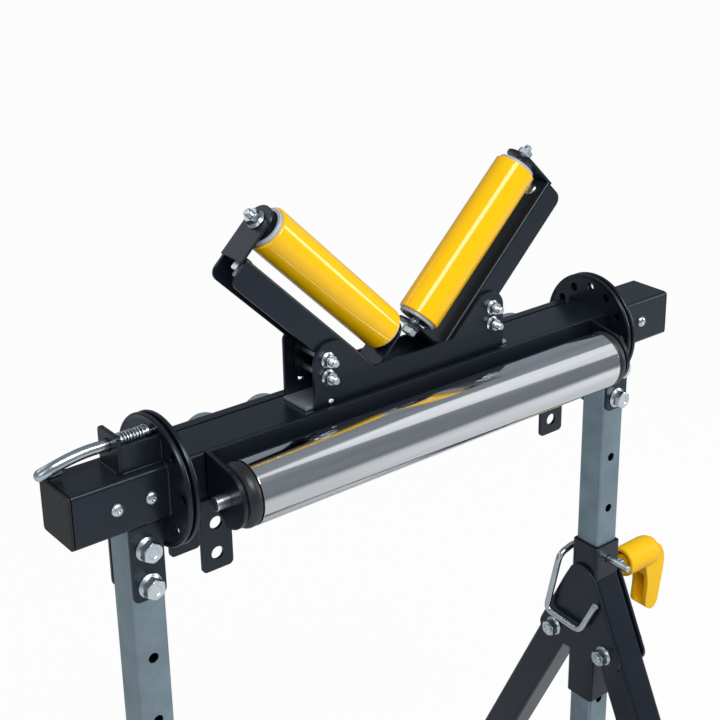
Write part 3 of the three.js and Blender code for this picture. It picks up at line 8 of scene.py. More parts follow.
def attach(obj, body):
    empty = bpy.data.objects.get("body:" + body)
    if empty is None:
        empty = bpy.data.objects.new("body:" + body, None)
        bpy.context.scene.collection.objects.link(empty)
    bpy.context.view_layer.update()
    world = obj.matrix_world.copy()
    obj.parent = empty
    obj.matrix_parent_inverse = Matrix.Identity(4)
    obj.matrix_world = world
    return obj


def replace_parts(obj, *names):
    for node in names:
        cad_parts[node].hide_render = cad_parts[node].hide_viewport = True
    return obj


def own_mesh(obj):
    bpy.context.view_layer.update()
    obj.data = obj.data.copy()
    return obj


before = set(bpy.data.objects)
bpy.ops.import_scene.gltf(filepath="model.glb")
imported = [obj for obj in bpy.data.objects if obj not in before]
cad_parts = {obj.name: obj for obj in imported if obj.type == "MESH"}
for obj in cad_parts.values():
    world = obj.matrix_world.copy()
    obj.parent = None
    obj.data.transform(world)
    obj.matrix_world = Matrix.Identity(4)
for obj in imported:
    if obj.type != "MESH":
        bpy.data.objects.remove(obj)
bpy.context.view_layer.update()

MM = 0.001
X, Y, Z = 0, 1, 2
BEAM_HEIGHT = 720
FLOOR = -BEAM_HEIGHT

# Clearances between pieces and round a bolt, and how far cutters run past a piece
FIT, BOLT_FIT, OVERCUT = 0.3, 0.5, 5
# How far drills reach each way through a whole piece, a post and one plate
DRILL_REACH, POST_DRILL, PLATE_DRILL = 40, 20, 9
# How far welded sheets run into each other
TOUCH, SINK, DEEP_SINK = 0.2, 0.3, 0.5
# The least angle, in degrees, of an edge that is broken on a plain, a drilled and a round piece
SHARP, DRILLED, ROUND = 32, 50, 60
# Half the width of the blocks that trim legs, feet and arms, and how far they reach
TRIM_WIDE, TRIM_FAR = 285, 500

# Tubes
BEAM_DEPTH, BEAM_TALL, BEAM_WALL, BEAM_CORNER = 40, 38, 2, 3
POST_X, POST_SIZE, POST_WALL, POST_CORNER = 225, 25, 1.5, 2.4
POST_TOP, POST_BOTTOM = -22, -472
HOLE_PITCH, FIRST_HOLE, HOLE_COUNT, HOLE_RADIUS = 50, -123.2, 7, 3.7
SLEEVE_SIZE, SLEEVE_WALL, SLEEVE_CORNER = 30, 2, 3.2
SLEEVE_TOP, SLEEVE_BOTTOM = -209.3, -369.5
LOCK_RADIUS, LOCK_TIP = 3, -38.6
LOCK_Z = FIRST_HOLE - 2 * HOLE_PITCH
TUBE_BEAD = 1.3

# Clamp levers
CLAMP_Z, STUD_RADIUS = -248, 4
CLAMP_NUT_RADIUS, CLAMP_NUT_LONG = 8.5, 11
HUB_START, HUB_END, RECESS_DEPTH, RECESS_RADIUS, BOSS_RADIUS = 260.5, 292, 9, 10.8, 7
HANDLE_THICK, GROOVE_THICK = 19, 10.5

# Legs
PIVOT_Y, PIVOT_Z = 31, -308
LEG_ANGLE = math.radians(26)
LEG_WIDE, LEG_DEEP, LEG_CORNER, LEG_WALL = 29.2, 30, 3.4, 1.5
LEG_ROUGH_END, LEG_ROUGH_TOP = -452, 80
BAR_SIZE, BAR_DOWN, BAR_CORNER, BAR_INTO_LEG = 25, 325, 3, 0.7
HINGE_PLATE = 3
FOOT_TALL, FOOT_WALL, FOOT_CORNER, SOLE = 42, 3, 5, 4
GROOVE_START, GROOVE_PITCH, GROOVE_COUNT, GROOVE_WIDE, GROOVE_DEEP = -246, 7, 5, 1.6, 1.2

# Discs, saddles and stubs
DISC_RADIUS, DISC_PLATE, DISC_RIM = 46, 1.8, 3.5
FIXED_FACE, TURN_FACE = 206.4, 204.5
SPIGOT_LENGTH, SPIGOT_RADIUS, BORE_START, BORE_END = 13.2, 8, 190, 220
INDEX_RADIUS, INDEX_HOLE = 35.7, 3.6
FIXED_HOLES, TURN_HOLES = 8, 12
STUB_END, CAP_FACE, PLUG_LONG = 276, 2, 9
SADDLE_HALF, SADDLE_WALL, SADDLE_INNER, SADDLE_LOW = 12.3, 2.5, 12.8, -76
SADDLE_BOLTS = (-38, -65.5)
RIVET_PLACES = (221.5, 246)
RIVET_RADIUS, RIVET_TALL = 4.6, 2.6

# The spring pin and its guide
TAB_X, TAB_THICK, TAB_HALF, TAB_TOP = -239.2, 3, 13, 45
GUARD_TOP, GUARD_THICK = 37.7, 2.5
PIN_TIP_X, PIN_NOSE, INDEX_ROD = -197, 3, 4
COLLAR_X, COLLAR_THICK, COLLAR_RADIUS = -213.2, 2.4, 6
SPRING_RADIUS, SPRING_WIRE, SPRING_TURNS = 5, 0.62, 9.5

# Long roller and its cradle
ROLLER_Y, ROLLER_Z, ROLLER_RADIUS, ROLLER_HALF, ROLLER_WALL = -45.5, -5, 22.5, 167.5, 2
ROLLER_CAP_LONG, ROLLER_CAP_INSIDE = 10.3, 11
CRADLE_END, CRADLE_LOW, CRADLE_HIGH, CRADLE_THICK = 181.5, -12, 20.2, 2.5
EAR_THICK, EAR_RADIUS = 3, 21
AXLE_RADIUS, AXLE_HALF = 5, 191.3

# Timber brackets
BRACKET_LEFT, BRACKET_RIGHT, BRACKET_HALF, BRACKET_WALL = -177.25, 138.5, 12, 2.5
BRACKET_HOLES, BRACKET_HOLE_RADIUS = (-33.5, -56.3), 4.7
BRACKET_FRONT_TOP, BRACKET_FRONT_LOW, BRACKET_BACK_LOW = -14.5, -68.5, -76

# Ball rail
BALL_RADIUS, BALL_Y, BALL_PITCH, BALL_COUNT = 12.4, 40.5, 49, 7
RAIL_HALF, RAIL_DEPTH, RAIL_WALL, BALL_HOLE = 197, 9.2, 2, 13.4

# V head
BASE_HALF, BASE_THICK = 95.5, 2.5
ARM_HALF, ARM_WALL, ARM_TOP, ARM_LOW = 13.2, 2, 2.5, -17.7
ARM_START, ARM_END, ARM_OVER_BASE = 44, 196, 3.5
ARM_SLOPE = math.pi / 4
V_OVER, V_RADIUS, V_START, V_END = 28.1, 16.4, 50, 191.5
V_RING_OUT, V_BORE = 2.6, 3.6
TAB_SHEET, TAB_WIDTH_HALF, TAB_GAP = 2, 12, 0.4
TAB_FOOT_START, TAB_FOOT_HALF, TAB_BOLT_AT = 178, 10.8, 187
YOKE_INNER, YOKE_WALL = 13.5, 2.5
YOKE_BOLTS = ((77.5, 54), (77.5, 41))
YOKE_SPARE_HOLE = (79.5, 32.2, 2.7)

# Bolt sizes: shank radius, across flats, flange radius, brim and head heights
M8 = (4, 13, 8.7, 1.6, 6.6)
M6 = (3, 8.6, 5.8, 1, 3.8)
M6_WIDE = (3, 10, 7, 1.4, 4.8)
M8_HOLE, M6_HOLE = M8[0] + BOLT_FIT, M6[0] + BOLT_FIT

# Turned shapes, as shares of their radius and height
FLANGE = ((1, 0), (1, 0.3), (0.96, 0.5), (0.72, 1.5))
DOME = ((1, 0), (1, 0.25), (0.93, 0.55), (0.75, 0.82), (0.45, 0.97), (0.1, 1))
RIVET = (
    *((1, 0), (1, 0.2), (0.93, 0.48), (0.75, 0.78), (0.52, 0.96)),
    *((0.38, 1), (0.3, 0.93), (0.27, 0.62), (0.02, 0.68)),
)


# Selecting and settling


def deselect():
    bpy.ops.object.select_all(action="DESELECT")


def pick(piece):
    deselect()
    piece.select_set(True)
    bpy.context.view_layer.objects.active = piece
    return piece


def settle(piece):
    """Applies a piece's place, so that its object sits at the origin, unturned and unscaled."""
    pick(piece)
    bpy.ops.object.transform_apply(location=True, rotation=True, scale=True)
    piece.rotation_mode = "XYZ"
    return piece


def move(piece, offset=(0, 0, 0), turn=(0, 0, 0)):
    """Turns a piece about the origin, then moves it, and applies both."""
    piece.rotation_euler = turn
    settle(piece)
    piece.location = Vector(offset) * MM
    return settle(piece)


def lifted(piece):
    return move(piece, (0, 0, BEAM_HEIGHT))


def laid(piece, start, direction):
    """Turns a piece from +Z to a direction and moves it to its start."""
    piece.rotation_mode = "QUATERNION"
    piece.rotation_quaternion = Vector(direction).to_track_quat("Z", "Y")
    piece.location = Vector(start) * MM
    return settle(piece)


def discard(piece):
    bpy.data.objects.remove(piece, do_unlink=True)


def copy_of(piece):
    twin = piece.copy()
    twin.data = piece.data.copy()
    bpy.context.collection.objects.link(twin)
    return twin


def together(*members):
    """Several shells as one object."""
    deselect()
    for member in members:
        member.select_set(True)
    bpy.context.view_layer.objects.active = members[0]
    bpy.ops.object.join()
    return members[0]


def edit(piece):
    """Opens a piece for editing with nothing selected, and gives its bmesh."""
    pick(piece)
    bpy.ops.object.mode_set(mode="EDIT")
    bpy.ops.mesh.select_mode(type="EDGE")
    bpy.ops.mesh.select_all(action="DESELECT")
    return bmesh.from_edit_mesh(piece.data)


def close(piece):
    bpy.ops.object.mode_set(mode="OBJECT")
    return piece


def outward(piece):
    """Turns every face of a closed shell outwards."""
    edit(piece)
    bpy.ops.mesh.select_all(action="SELECT")
    bpy.ops.mesh.normals_make_consistent(inside=False)
    return close(piece)


def mirrored(piece, axis=X):
    """A copy on the other side of the plane through the origin."""
    twin = copy_of(piece)
    scale = [1, 1, 1]
    scale[axis] = -1
    twin.scale = scale
    return outward(settle(twin))


# Modifiers


def apply_modifier(piece, kind, **settings):
    pick(piece)
    modifier = piece.modifiers.new(kind.lower(), kind)
    for name, value in settings.items():
        setattr(modifier, name, value)
    bpy.ops.object.modifier_apply(modifier=modifier.name)
    return piece


def combine(piece, operation, others):
    """Works other pieces into this one, one by one, and uses them up."""
    for other in others:
        apply_modifier(piece, "BOOLEAN", operation=operation, solver="EXACT", object=other)
        discard(other)
    return piece


def cut(piece, *tools):
    return combine(piece, "DIFFERENCE", tools)


def weld(piece, *others):
    return combine(piece, "UNION", others)


def kept_inside(piece, *rooms):
    return combine(piece, "INTERSECT", rooms)


def soften(piece, width=0.35, steps=2, angle=SHARP):
    """Breaks the sharp edges, as a press or a mould leaves them."""
    return apply_modifier(
        piece,
        "BEVEL",
        width=width * MM,
        segments=steps,
        limit_method="ANGLE",
        angle_limit=math.radians(angle),
        harden_normals=False,
        use_clamp_overlap=True,
    )


def smooth(piece):
    """Smooth shading that leaves the large flat faces flat and the light on their edges."""
    pick(piece)
    bpy.ops.object.shade_smooth_by_angle(angle=math.radians(SHARP))
    return apply_modifier(piece, "WEIGHTED_NORMAL", mode="FACE_AREA", weight=50, keep_sharp=True)


# Plain shapes


def block(low, high):
    """A box between two corners."""
    low, high = Vector(low), Vector(high)
    deselect()
    bpy.ops.mesh.primitive_cube_add(size=1, location=(low + high) / 2 * MM)
    piece = bpy.context.object
    piece.scale = (high - low) * MM
    return settle(piece)


def slab(front, back, low, high):
    """A block across the whole trestle, to trim pieces with."""
    return block((-TRIM_WIDE, front, low), (TRIM_WIDE, back, high))


def beam_block(start, end, inset=0):
    """A block with the beam's outline, less an inset all round."""
    half_deep, half_tall = BEAM_DEPTH / 2 - inset, BEAM_TALL / 2 - inset
    return block((start, -half_deep, -half_tall), (end, half_deep, half_tall))


def rod(start, end, radius, sides=48):
    start, end = Vector(start), Vector(end)
    axis = end - start
    deselect()
    bpy.ops.mesh.primitive_cylinder_add(
        vertices=sides, radius=radius * MM, depth=axis.length * MM
    )
    return laid(bpy.context.object, (start + end) / 2, axis)


def rod_x(start, end, y, z, radius, sides=48):
    """A rod along the beam."""
    return rod((start, y, z), (end, y, z), radius, sides)


def drill(x, z, radius, sides=32, middle=0, reach=DRILL_REACH):
    """A cutter for a round hole from front to back."""
    return rod((x, middle - reach, z), (x, middle + reach, z), radius, sides)


def round_edges(piece, axis, radius, steps=5, where=None):
    """Bevels the edges that run along an axis, all of them or those whose middle fits."""
    mesh = edit(piece)
    for edge in mesh.edges:
        first, last = (vertex.co for vertex in edge.verts)
        way = last - first
        if way.length and abs(way.normalized()[axis]) > 0.999:
            if where is None or where((first + last) / 2 / MM):
                edge.select_set(True)
    bmesh.update_edit_mesh(piece.data)
    bpy.ops.mesh.bevel(
        offset=radius * MM, offset_type="OFFSET", segments=steps, affect="EDGES"
    )
    return close(piece)


def square_tube(low, high, axis, corner, wall, steps=5):
    """A hollow tube with round edges along one axis, open at both ends."""
    least_corner = 0.5
    outer = round_edges(block(low, high), axis, corner, steps)
    inner_low, inner_high = list(low), list(high)
    for i in (X, Y, Z):
        shift = -OVERCUT if i == axis else wall
        inner_low[i] += shift
        inner_high[i] -= shift
    inner = block(inner_low, inner_high)
    return cut(outer, round_edges(inner, axis, max(corner - wall, least_corner), steps))


def beam_tube(start, end):
    half_deep, half_tall = BEAM_DEPTH / 2, BEAM_TALL / 2
    low, high = (start, -half_deep, -half_tall), (end, half_deep, half_tall)
    return square_tube(low, high, X, BEAM_CORNER, BEAM_WALL, 6)


def turned(profile, start=(0, 0, 0), direction=(0, 0, 1), sides=64):
    """A disc grown along its axis: each step of (radius, distance) extrudes and scales it."""
    last_radius, last_along = profile[0]
    deselect()
    bpy.ops.mesh.primitive_circle_add(
        vertices=sides,
        radius=last_radius * MM,
        fill_type="NGON",
        location=(0, 0, last_along * MM),
    )
    piece = settle(bpy.context.object)
    bpy.ops.object.mode_set(mode="EDIT")
    bpy.ops.mesh.select_mode(type="FACE")
    bpy.ops.mesh.select_all(action="SELECT")
    for radius, along in profile[1:]:
        bpy.ops.mesh.extrude_region_move(
            TRANSFORM_OT_translate={"value": (0, 0, (along - last_along) * MM)}
        )
        ratio = radius / last_radius
        bpy.ops.transform.resize(value=(ratio, ratio, 1), center_override=(0, 0, 0))
        if ratio != 1:
            mesh = bmesh.from_edit_mesh(piece.data)
            for corner in (v for v in mesh.verts if v.select):
                corner.co.z = along * MM
            bmesh.update_edit_mesh(piece.data)
        last_radius, last_along = radius, along
    return laid(outward(close(piece)), start, direction)


def button(shape, start, direction, radius, height):
    """A small turned head from one of the shapes that are given as shares."""
    profile = [(radius * share, height * rise) for share, rise in shape]
    return turned(profile, start, direction, 36)


def plate(corners, thickness, origin, right, up, steps=6):
    """A flat plate through corners (x, y, radius), grown square to its outline."""
    deselect()
    bpy.ops.mesh.primitive_circle_add(vertices=len(corners), radius=MM, fill_type="NGON")
    piece = bpy.context.object
    for vertex, (x, y, radius) in zip(piece.data.vertices, corners):
        vertex.co = Vector((x, y, 0)) * MM
    pick(piece)
    bpy.ops.object.mode_set(mode="EDIT")
    bpy.ops.mesh.select_all(action="SELECT")
    bpy.ops.mesh.extrude_region_move(
        TRANSFORM_OT_translate={"value": (0, 0, thickness * MM)}
    )
    outward(close(piece))
    near = 0.01
    for x, y, radius in corners:
        if radius:
            corner = Vector((x, y))
            round_edges(piece, Z, radius, steps, lambda spot: (spot.xy - corner).length < near)
    x_way, y_way = Vector(right), Vector(up)
    basis = Matrix((x_way, y_way, x_way.cross(y_way))).transposed().to_4x4()
    piece.matrix_world = Matrix.Translation(Vector(origin) * MM) @ basis
    return settle(piece)


def front_plate(corners, thickness, back, steps=6):
    """A plate seen from the front, with corners (x, z, radius), grown forwards from its back."""
    return plate(corners, thickness, (0, back, 0), (1, 0, 0), (0, 0, 1), steps)


def end_plate(corners, thickness, left):
    """A plate square to the beam, with corners (y, z, radius), grown to the right."""
    return plate(corners, thickness, (left, 0, 0), (0, 1, 0), (0, 0, 1))


def rectangle(left, right, low, high, radii):
    """The corners of a rectangle from its low left one round, and their radii."""
    places = ((left, low), (right, low), (right, high), (left, high))
    return [(*place, radius) for place, radius in zip(places, radii)]


def two_sided(corners):
    """A whole outline, from its low left corner round, from the corners of its right half."""
    left = [(-x, z, radius) for x, z, radius in reversed(corners)]
    return [left[-1], *corners, *left[:-1]]


def ring_round(half_wide, half_tall, corner):
    """A closed ring of points round a square tube, past its corners."""
    wide, tall = half_wide - corner, half_tall - corner
    right = [(wide, half_tall), (half_wide, tall), (half_wide, -tall), (wide, -half_tall)]
    left = [(-a, b) for a, b in reversed(right)]
    return [left[-1], *right, *left]


def tube_through(path, radius, resolution):
    """A round wire through a row of points, as one closed mesh."""
    deselect()
    bpy.ops.curve.primitive_nurbs_path_add()
    curve = bpy.context.object
    curve.data.splines.clear()
    spline = curve.data.splines.new("POLY")
    spline.points.add(len(path) - 1)
    for point, place in zip(spline.points, path):
        point.co = (*(Vector(place) * MM), 1)
    curve.data.dimensions = "3D"
    curve.data.twist_mode = "MINIMUM"
    curve.data.bevel_depth = radius * MM
    curve.data.bevel_resolution = resolution
    curve.data.use_fill_caps = True
    pick(curve)
    bpy.ops.object.convert(target="MESH")
    tube = bpy.context.object
    edit(tube)
    bpy.ops.mesh.select_all(action="SELECT")
    bpy.ops.mesh.remove_doubles(threshold=MM / 1000)
    return outward(close(tube))


def wire(points, radius, bend=6, steps=8, resolution=8):
    """A round wire through corners, each of them bent."""
    corners = [Vector(p) for p in points]
    path = [corners[0]]
    for before, here, after in zip(corners, corners[1:], corners[2:]):
        reach = min(bend, (before - here).length / 2, (after - here).length / 2)
        enter = here + (before - here).normalized() * reach
        leave = here + (after - here).normalized() * reach
        for i in range(steps + 1):
            t = i / steps
            path.append(enter * (1 - t) ** 2 + here * 2 * t * (1 - t) + leave * t**2)
    path.append(corners[-1])
    return tube_through(path, radius, resolution)


def smooth_path(points, steps):
    """Points of a Catmull-Rom curve through the given ones."""
    places = [Vector(p) for p in points]
    places = [places[0] * 2 - places[1]] + places + [places[-1] * 2 - places[-2]]
    path = []
    for a, b, c, d in zip(places, places[1:], places[2:], places[3:]):
        square_part = a * 2 - b * 5 + c * 4 - d
        cube_part = b * 3 - a - c * 3 + d
        for i in range(steps):
            t = i / steps
            path.append((b * 2 + (c - a) * t + square_part * t**2 + cube_part * t**3) / 2)
    path.append(places[-2])
    return path


# Shader nodes


class Socket:
    """A shader value that takes part in plain arithmetic."""

    def __init__(self, nodes, link):
        self.nodes, self.link = nodes, link

    def math(self, operation, other):
        settings = {"operation": operation}
        return self.nodes.node("ShaderNodeMath", settings, {0: self, 1: other})[0]

    def __add__(self, other):
        return self.math("ADD", other)

    def __mul__(self, other):
        return self.math("MULTIPLY", other)

    __radd__ = __add__
    __rmul__ = __mul__


class Outputs:
    """The outputs of one node, by name or number."""

    def __init__(self, nodes, made):
        self.nodes, self.made = nodes, made

    def __getitem__(self, key):
        return Socket(self.nodes, self.made.outputs[key])


class Nodes:
    """The nodes of a material or of the world, added one by one."""

    def __init__(self, tree):
        self.tree = tree

    def node(self, kind, settings, values):
        """Adds a node, sets it, then gives its sockets their values or links."""
        made = self.tree.nodes.new(kind)
        for name, value in settings.items():
            setattr(made, name, value)
        for key, value in values.items():
            self.feed(made.inputs[key], value)
        return Outputs(self, made)

    def feed(self, target, value):
        if isinstance(value, Socket):
            self.tree.links.new(value.link, target)
        else:
            target.default_value = value

    def shown_to_camera(self, share, lit, pale):
        """A mix of two shaders: the camera alone sees this share of the pale one."""
        ray = self.node("ShaderNodeLightPath", {}, {})["Is Camera Ray"]
        return self.node("ShaderNodeMixShader", {}, {0: ray * share, 1: lit, 2: pale})[0]


class Paint(Nodes):
    """A material round one Principled shader."""

    def __init__(self, name):
        self.material = bpy.data.materials.new(name)
        self.material.use_nodes = True
        super().__init__(self.material.node_tree)
        self.shader = self.found("BSDF_PRINCIPLED")
        self.place = self.node("ShaderNodeTexCoord", {}, {})["Object"]

    def found(self, kind):
        return next(n for n in self.tree.nodes if n.type == kind)

    def noise(self, scale, detail, stretch=(1, 1, 1)):
        values = {"Vector": self.place, "Scale": stretch}
        spot = self.node("ShaderNodeMapping", {}, values)["Vector"]
        values = {"Vector": spot, "Scale": scale, "Detail": detail}
        return self.node("ShaderNodeTexNoise", {}, values)["Fac"]

    def blend(self, share, first, second):
        """A mix of two colours, whose sockets go by number because their names repeat."""
        values = {0: share, 6: first, 7: second}
        return self.node("ShaderNodeMix", {"data_type": "RGBA"}, values)[2]

    def ramp(self, share, low, high):
        """Stretches the range between two values to 0 and 1."""
        values = {"Value": share, "From Min": low, "From Max": high}
        return self.node("ShaderNodeMapRange", {"clamp": True}, values)["Result"]

    def bump(self, height, strength, distance):
        values = {"Height": height, "Strength": strength, "Distance": distance}
        return self.node("ShaderNodeBump", {}, values)["Normal"]

    def set(self, **sockets):
        for name, value in sockets.items():
            self.feed(self.shader.inputs[name.replace("_", " ")], value)
        return self.material


def rgb(red, green, blue):
    return (red, green, blue, 1.0)


# Materials


def black_coat():
    """Glossy black powder coat: orange peel, faint dust and a few rub marks."""
    paint = Paint("black powder coat")
    peel = paint.noise(650, 2)
    broad = paint.noise(14, 3)
    dust = paint.ramp(paint.noise(900, 2), 0.72, 0.8)
    rubs = paint.ramp(paint.noise(60, 4, (1, 1, 6)), 0.66, 0.8)
    base = paint.blend(broad, rgb(0.0042, 0.006, 0.0105), rgb(0.0075, 0.0098, 0.0155))
    return paint.set(
        Base_Color=paint.blend(dust * 0.12, base, rgb(0.08, 0.085, 0.09)),
        Roughness=0.25 + broad * 0.08 + rubs * 0.1,
        Specular_IOR_Level=0.45,
        Specular_Tint=rgb(0.76, 0.87, 1.0),
        Normal=paint.bump(peel, 0.1, 0.0002),
    )


def zinc_plate(name, tone, rough, streak=(1, 1, 1), grain=0.03):
    """Bright zinc: bluish, with fine drawn streaks and a cloudy passivation."""
    paint = Paint(name)
    clouds = paint.noise(38, 4)
    lines = paint.noise(520, 2, streak)
    dark = (c * 0.72 for c in tone)
    return paint.set(
        Base_Color=paint.blend(paint.ramp(clouds, 0.3, 0.72), rgb(*dark), rgb(*tone)),
        Metallic=1.0,
        Roughness=rough + clouds * 0.12 + lines * 0.08,
        Normal=paint.bump(lines, grain, 0.0001),
    )


def polished_chrome():
    """Bright chrome with faint bands along the axis, painted reflections of the surroundings in
    its colour and polishing bands in its roughness, and a light haze.
    """
    paint = Paint("polished chrome")
    haze = paint.noise(16, 3)
    # Painted reflection: lighter and darker stripes along the axis, blended into the base colour;
    # the same stripes also vary the roughness
    painted_reflection_and_polish_bands = paint.ramp(paint.noise(70, 3, (0.04, 1, 1)), 0.35, 0.65)
    hairs = paint.noise(1500, 1, (1, 0.02, 0.02))
    return paint.set(
        Base_Color=paint.blend(painted_reflection_and_polish_bands, rgb(0.6, 0.6, 0.605), rgb(0.82, 0.83, 0.84)),
        Metallic=1.0,
        Roughness=0.06 + haze * 0.05 + painted_reflection_and_polish_bands * 0.03 + hairs * 0.01,
        Normal=paint.bump(hairs, 0.02, 0.00005),
    )


def yellow_sleeve():
    """Smooth glossy roller sleeve with very fine turning marks."""
    paint = Paint("yellow roller sleeve")
    cloud = paint.noise(30, 2)
    mark = paint.noise(700, 2)
    return paint.set(
        Base_Color=paint.blend(cloud, rgb(0.98, 0.52, 0.0), rgb(1.0, 0.57, 0.0005)),
        Roughness=0.3 + cloud * 0.05 + mark * 0.03,
        Specular_IOR_Level=0.02,
        Coat_Weight=0.8,
        Coat_Roughness=0.07,
        Normal=paint.bump(mark, 0.03, 0.0001),
    )


def lever_plastic():
    """Moulded plastic with a fine grain."""
    paint = Paint("orange lever plastic")
    grain = paint.noise(1400, 2)
    cloud = paint.noise(40, 2)
    return paint.set(
        Base_Color=paint.blend(cloud, rgb(0.96, 0.5, 0.0), rgb(1.0, 0.57, 0.001)),
        Roughness=0.4 + grain * 0.1,
        Specular_IOR_Level=0.25,
        Subsurface_Weight=0.05,
        Normal=paint.bump(grain, 0.12, 0.0001),
    )


def dark_plastic(name, value, rough, grain_scale, grain_depth):
    """Moulded plastic or rubber, slightly blue, clouded and grained."""
    paint = Paint(name)
    grain = paint.noise(grain_scale, 3)
    cloud = paint.noise(45, 3)
    low = rgb(value * 0.75, value * 0.8, value * 0.95)
    high = rgb(value * 1.15, value * 1.25, value * 1.45)
    return paint.set(
        Base_Color=paint.blend(cloud, low, high),
        Roughness=rough + cloud * 0.1,
        Normal=paint.bump(grain, grain_depth, 0.0002),
    )


# Finishes: the slot and the material of each
BLACK = ("black_coat", black_coat())
ZINC = (
    "zinc_plate",
    zinc_plate("zinc plated tube", (0.27, 0.345, 0.39), 0.26, streak=(3, 3, 0.05), grain=0.12),
)
BOLT = ("zinc_plate", zinc_plate("zinc plated fastener", (0.7, 0.76, 0.79), 0.2))
SHEET = ("zinc_plate", zinc_plate("zinc plated sheet", (0.64, 0.72, 0.76), 0.46))
ROD = ("zinc_plate", zinc_plate("bright wire", (0.66, 0.71, 0.74), 0.15, streak=(0.05, 1, 1)))
CHROME = ("chrome", polished_chrome())
YELLOW = ("yellow_sleeve", yellow_sleeve())
LEVER = ("orange_plastic", lever_plastic())
RUBBER = ("black_rubber", dark_plastic("black rubber", 0.013, 0.34, 500, 0.1))
CAP = ("black_plastic", dark_plastic("black cap plastic", 0.006, 0.5, 900, 0.08))
GREY = ("black_plastic", dark_plastic("grey bearing ring", 0.42, 0.3, 900, 0.05))


def add(piece, name, body, finish):
    """Names a piece, gives it its finish and ties it to the body that it moves with."""
    slot, material = finish
    piece.name = name
    piece.data.name = name
    piece.data.materials.clear()
    piece.data.materials.append(material)
    smooth(piece)
    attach(piece, body)
    return piece


def dress(piece, node, body, finish):
    """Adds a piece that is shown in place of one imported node."""
    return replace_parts(add(piece, f"dressed_{node}", body, finish), node)


# Fasteners


def hex_prism(low, high, flats):
    """A hexagon with a rounded top along +Z."""
    dome = 0.8
    radius = flats / math.sqrt(3)
    prism = rod((0, 0, low), (0, 0, high), radius, 6)
    crown = turned(
        [
            (radius + 0.5, low - 1),
            (radius + 0.5, high - dome * 1.4),
            (radius * 0.96, high - dome * 0.6),
            (radius * 0.86, high),
            (radius * 0.86, high + 0.01),
        ],
        sides=36,
    )
    return soften(kept_inside(prism, crown), width=0.15, steps=1)


def threaded(start, end, radius, pitch):
    """A stud with ridges, domed at its end."""
    tip = 0.6
    profile = [(radius * 0.98, start)]
    along = start
    while along + pitch < end - tip:
        profile.append((radius, along + pitch * 0.25))
        profile.append((radius * 0.86, along + pitch * 0.75))
        along += pitch
    profile += [(radius * 0.95, end - tip), (radius * 0.72, end)]
    return turned(profile, sides=28)


def bolt(start, direction, grip, size, tip):
    """A flanged bolt with its nut, from the face that the head bears on."""
    shank, flats, flange, brim, head = size
    over, seat, pitch = brim + head, brim * 0.6, 1.1
    hex_head = move(hex_prism(seat, over, flats), turn=(math.pi, 0, 0))
    dimple = turned([(flats * 0.3, -over - 0.1), (flats * 0.26, -over + 0.5)], sides=32)
    under_head = [(flange * share, -brim * rise) for share, rise in reversed(FLANGE)]
    under_nut = [(flange * share, grip + brim * rise) for share, rise in FLANGE]
    piece = together(
        cut(hex_head, dimple),
        turned(under_head, sides=40),
        rod((0, 0, -brim), (0, 0, grip + brim), shank, 28),
        turned(under_nut, sides=40),
        hex_prism(grip + seat, grip + over, flats),
        threaded(grip + brim, grip + over + tip, shank, pitch),
    )
    return laid(piece, start, direction)


# Stand


def hinge_plate(left):
    """A plate on the side of the sleeve that holds both legs, its sides at their slope."""
    top_half, side_top, corner_z, low, peak_half, peak = 18, -245, -312, -321.5, 9, -230
    corner_y = top_half + (side_top - corner_z) * math.tan(LEG_ANGLE)
    outline = two_sided(
        [
            (corner_y - 6, low, 4),
            (corner_y, corner_z, 5),
            (top_half, side_top, 10),
            (peak_half, peak, 8),
        ]
    )
    return soften(end_plate(outline, HINGE_PLATE, left), width=0.5)


def make_sleeve():
    """The square sleeve with its lock hole, its clamp nut and its two hinge plates."""
    half = SLEEVE_SIZE / 2
    face = POST_X + half

    def stud_hole():
        return rod_x(POST_X, POST_X + DRILL_REACH, 0, CLAMP_Z, STUD_RADIUS + BOLT_FIT, 32)

    low, high = (POST_X - half, -half, SLEEVE_BOTTOM), (face, half, SLEEVE_TOP)
    tube = square_tube(low, high, Z, SLEEVE_CORNER, SLEEVE_WALL)
    lock_hole = drill(POST_X, LOCK_Z, LOCK_RADIUS + BOLT_FIT, reach=half + 4)
    tube = cut(tube, lock_hole, stud_hole())
    nut = rod_x(face, face + CLAMP_NUT_LONG, 0, CLAMP_Z, CLAMP_NUT_RADIUS, 6)
    nut = cut(soften(nut, width=0.6), stud_hole())
    plates = [hinge_plate(POST_X - half - HINGE_PLATE), hinge_plate(face)]
    return lifted(together(soften(tube, width=0.3, steps=1), nut, *plates))


def lean(piece):
    """Turns an upright piece about the front pivot to the slope of the leg."""
    return move(piece, (0, -PIVOT_Y, PIVOT_Z), (-LEG_ANGLE, 0, 0))


def leg_place(down, across):
    """The place (y, z) of a point that is this far down a leaning leg and across it."""
    y = -PIVOT_Y - down * math.sin(LEG_ANGLE) + across * math.cos(LEG_ANGLE)
    z = PIVOT_Z - down * math.cos(LEG_ANGLE) - across * math.sin(LEG_ANGLE)
    return y, z


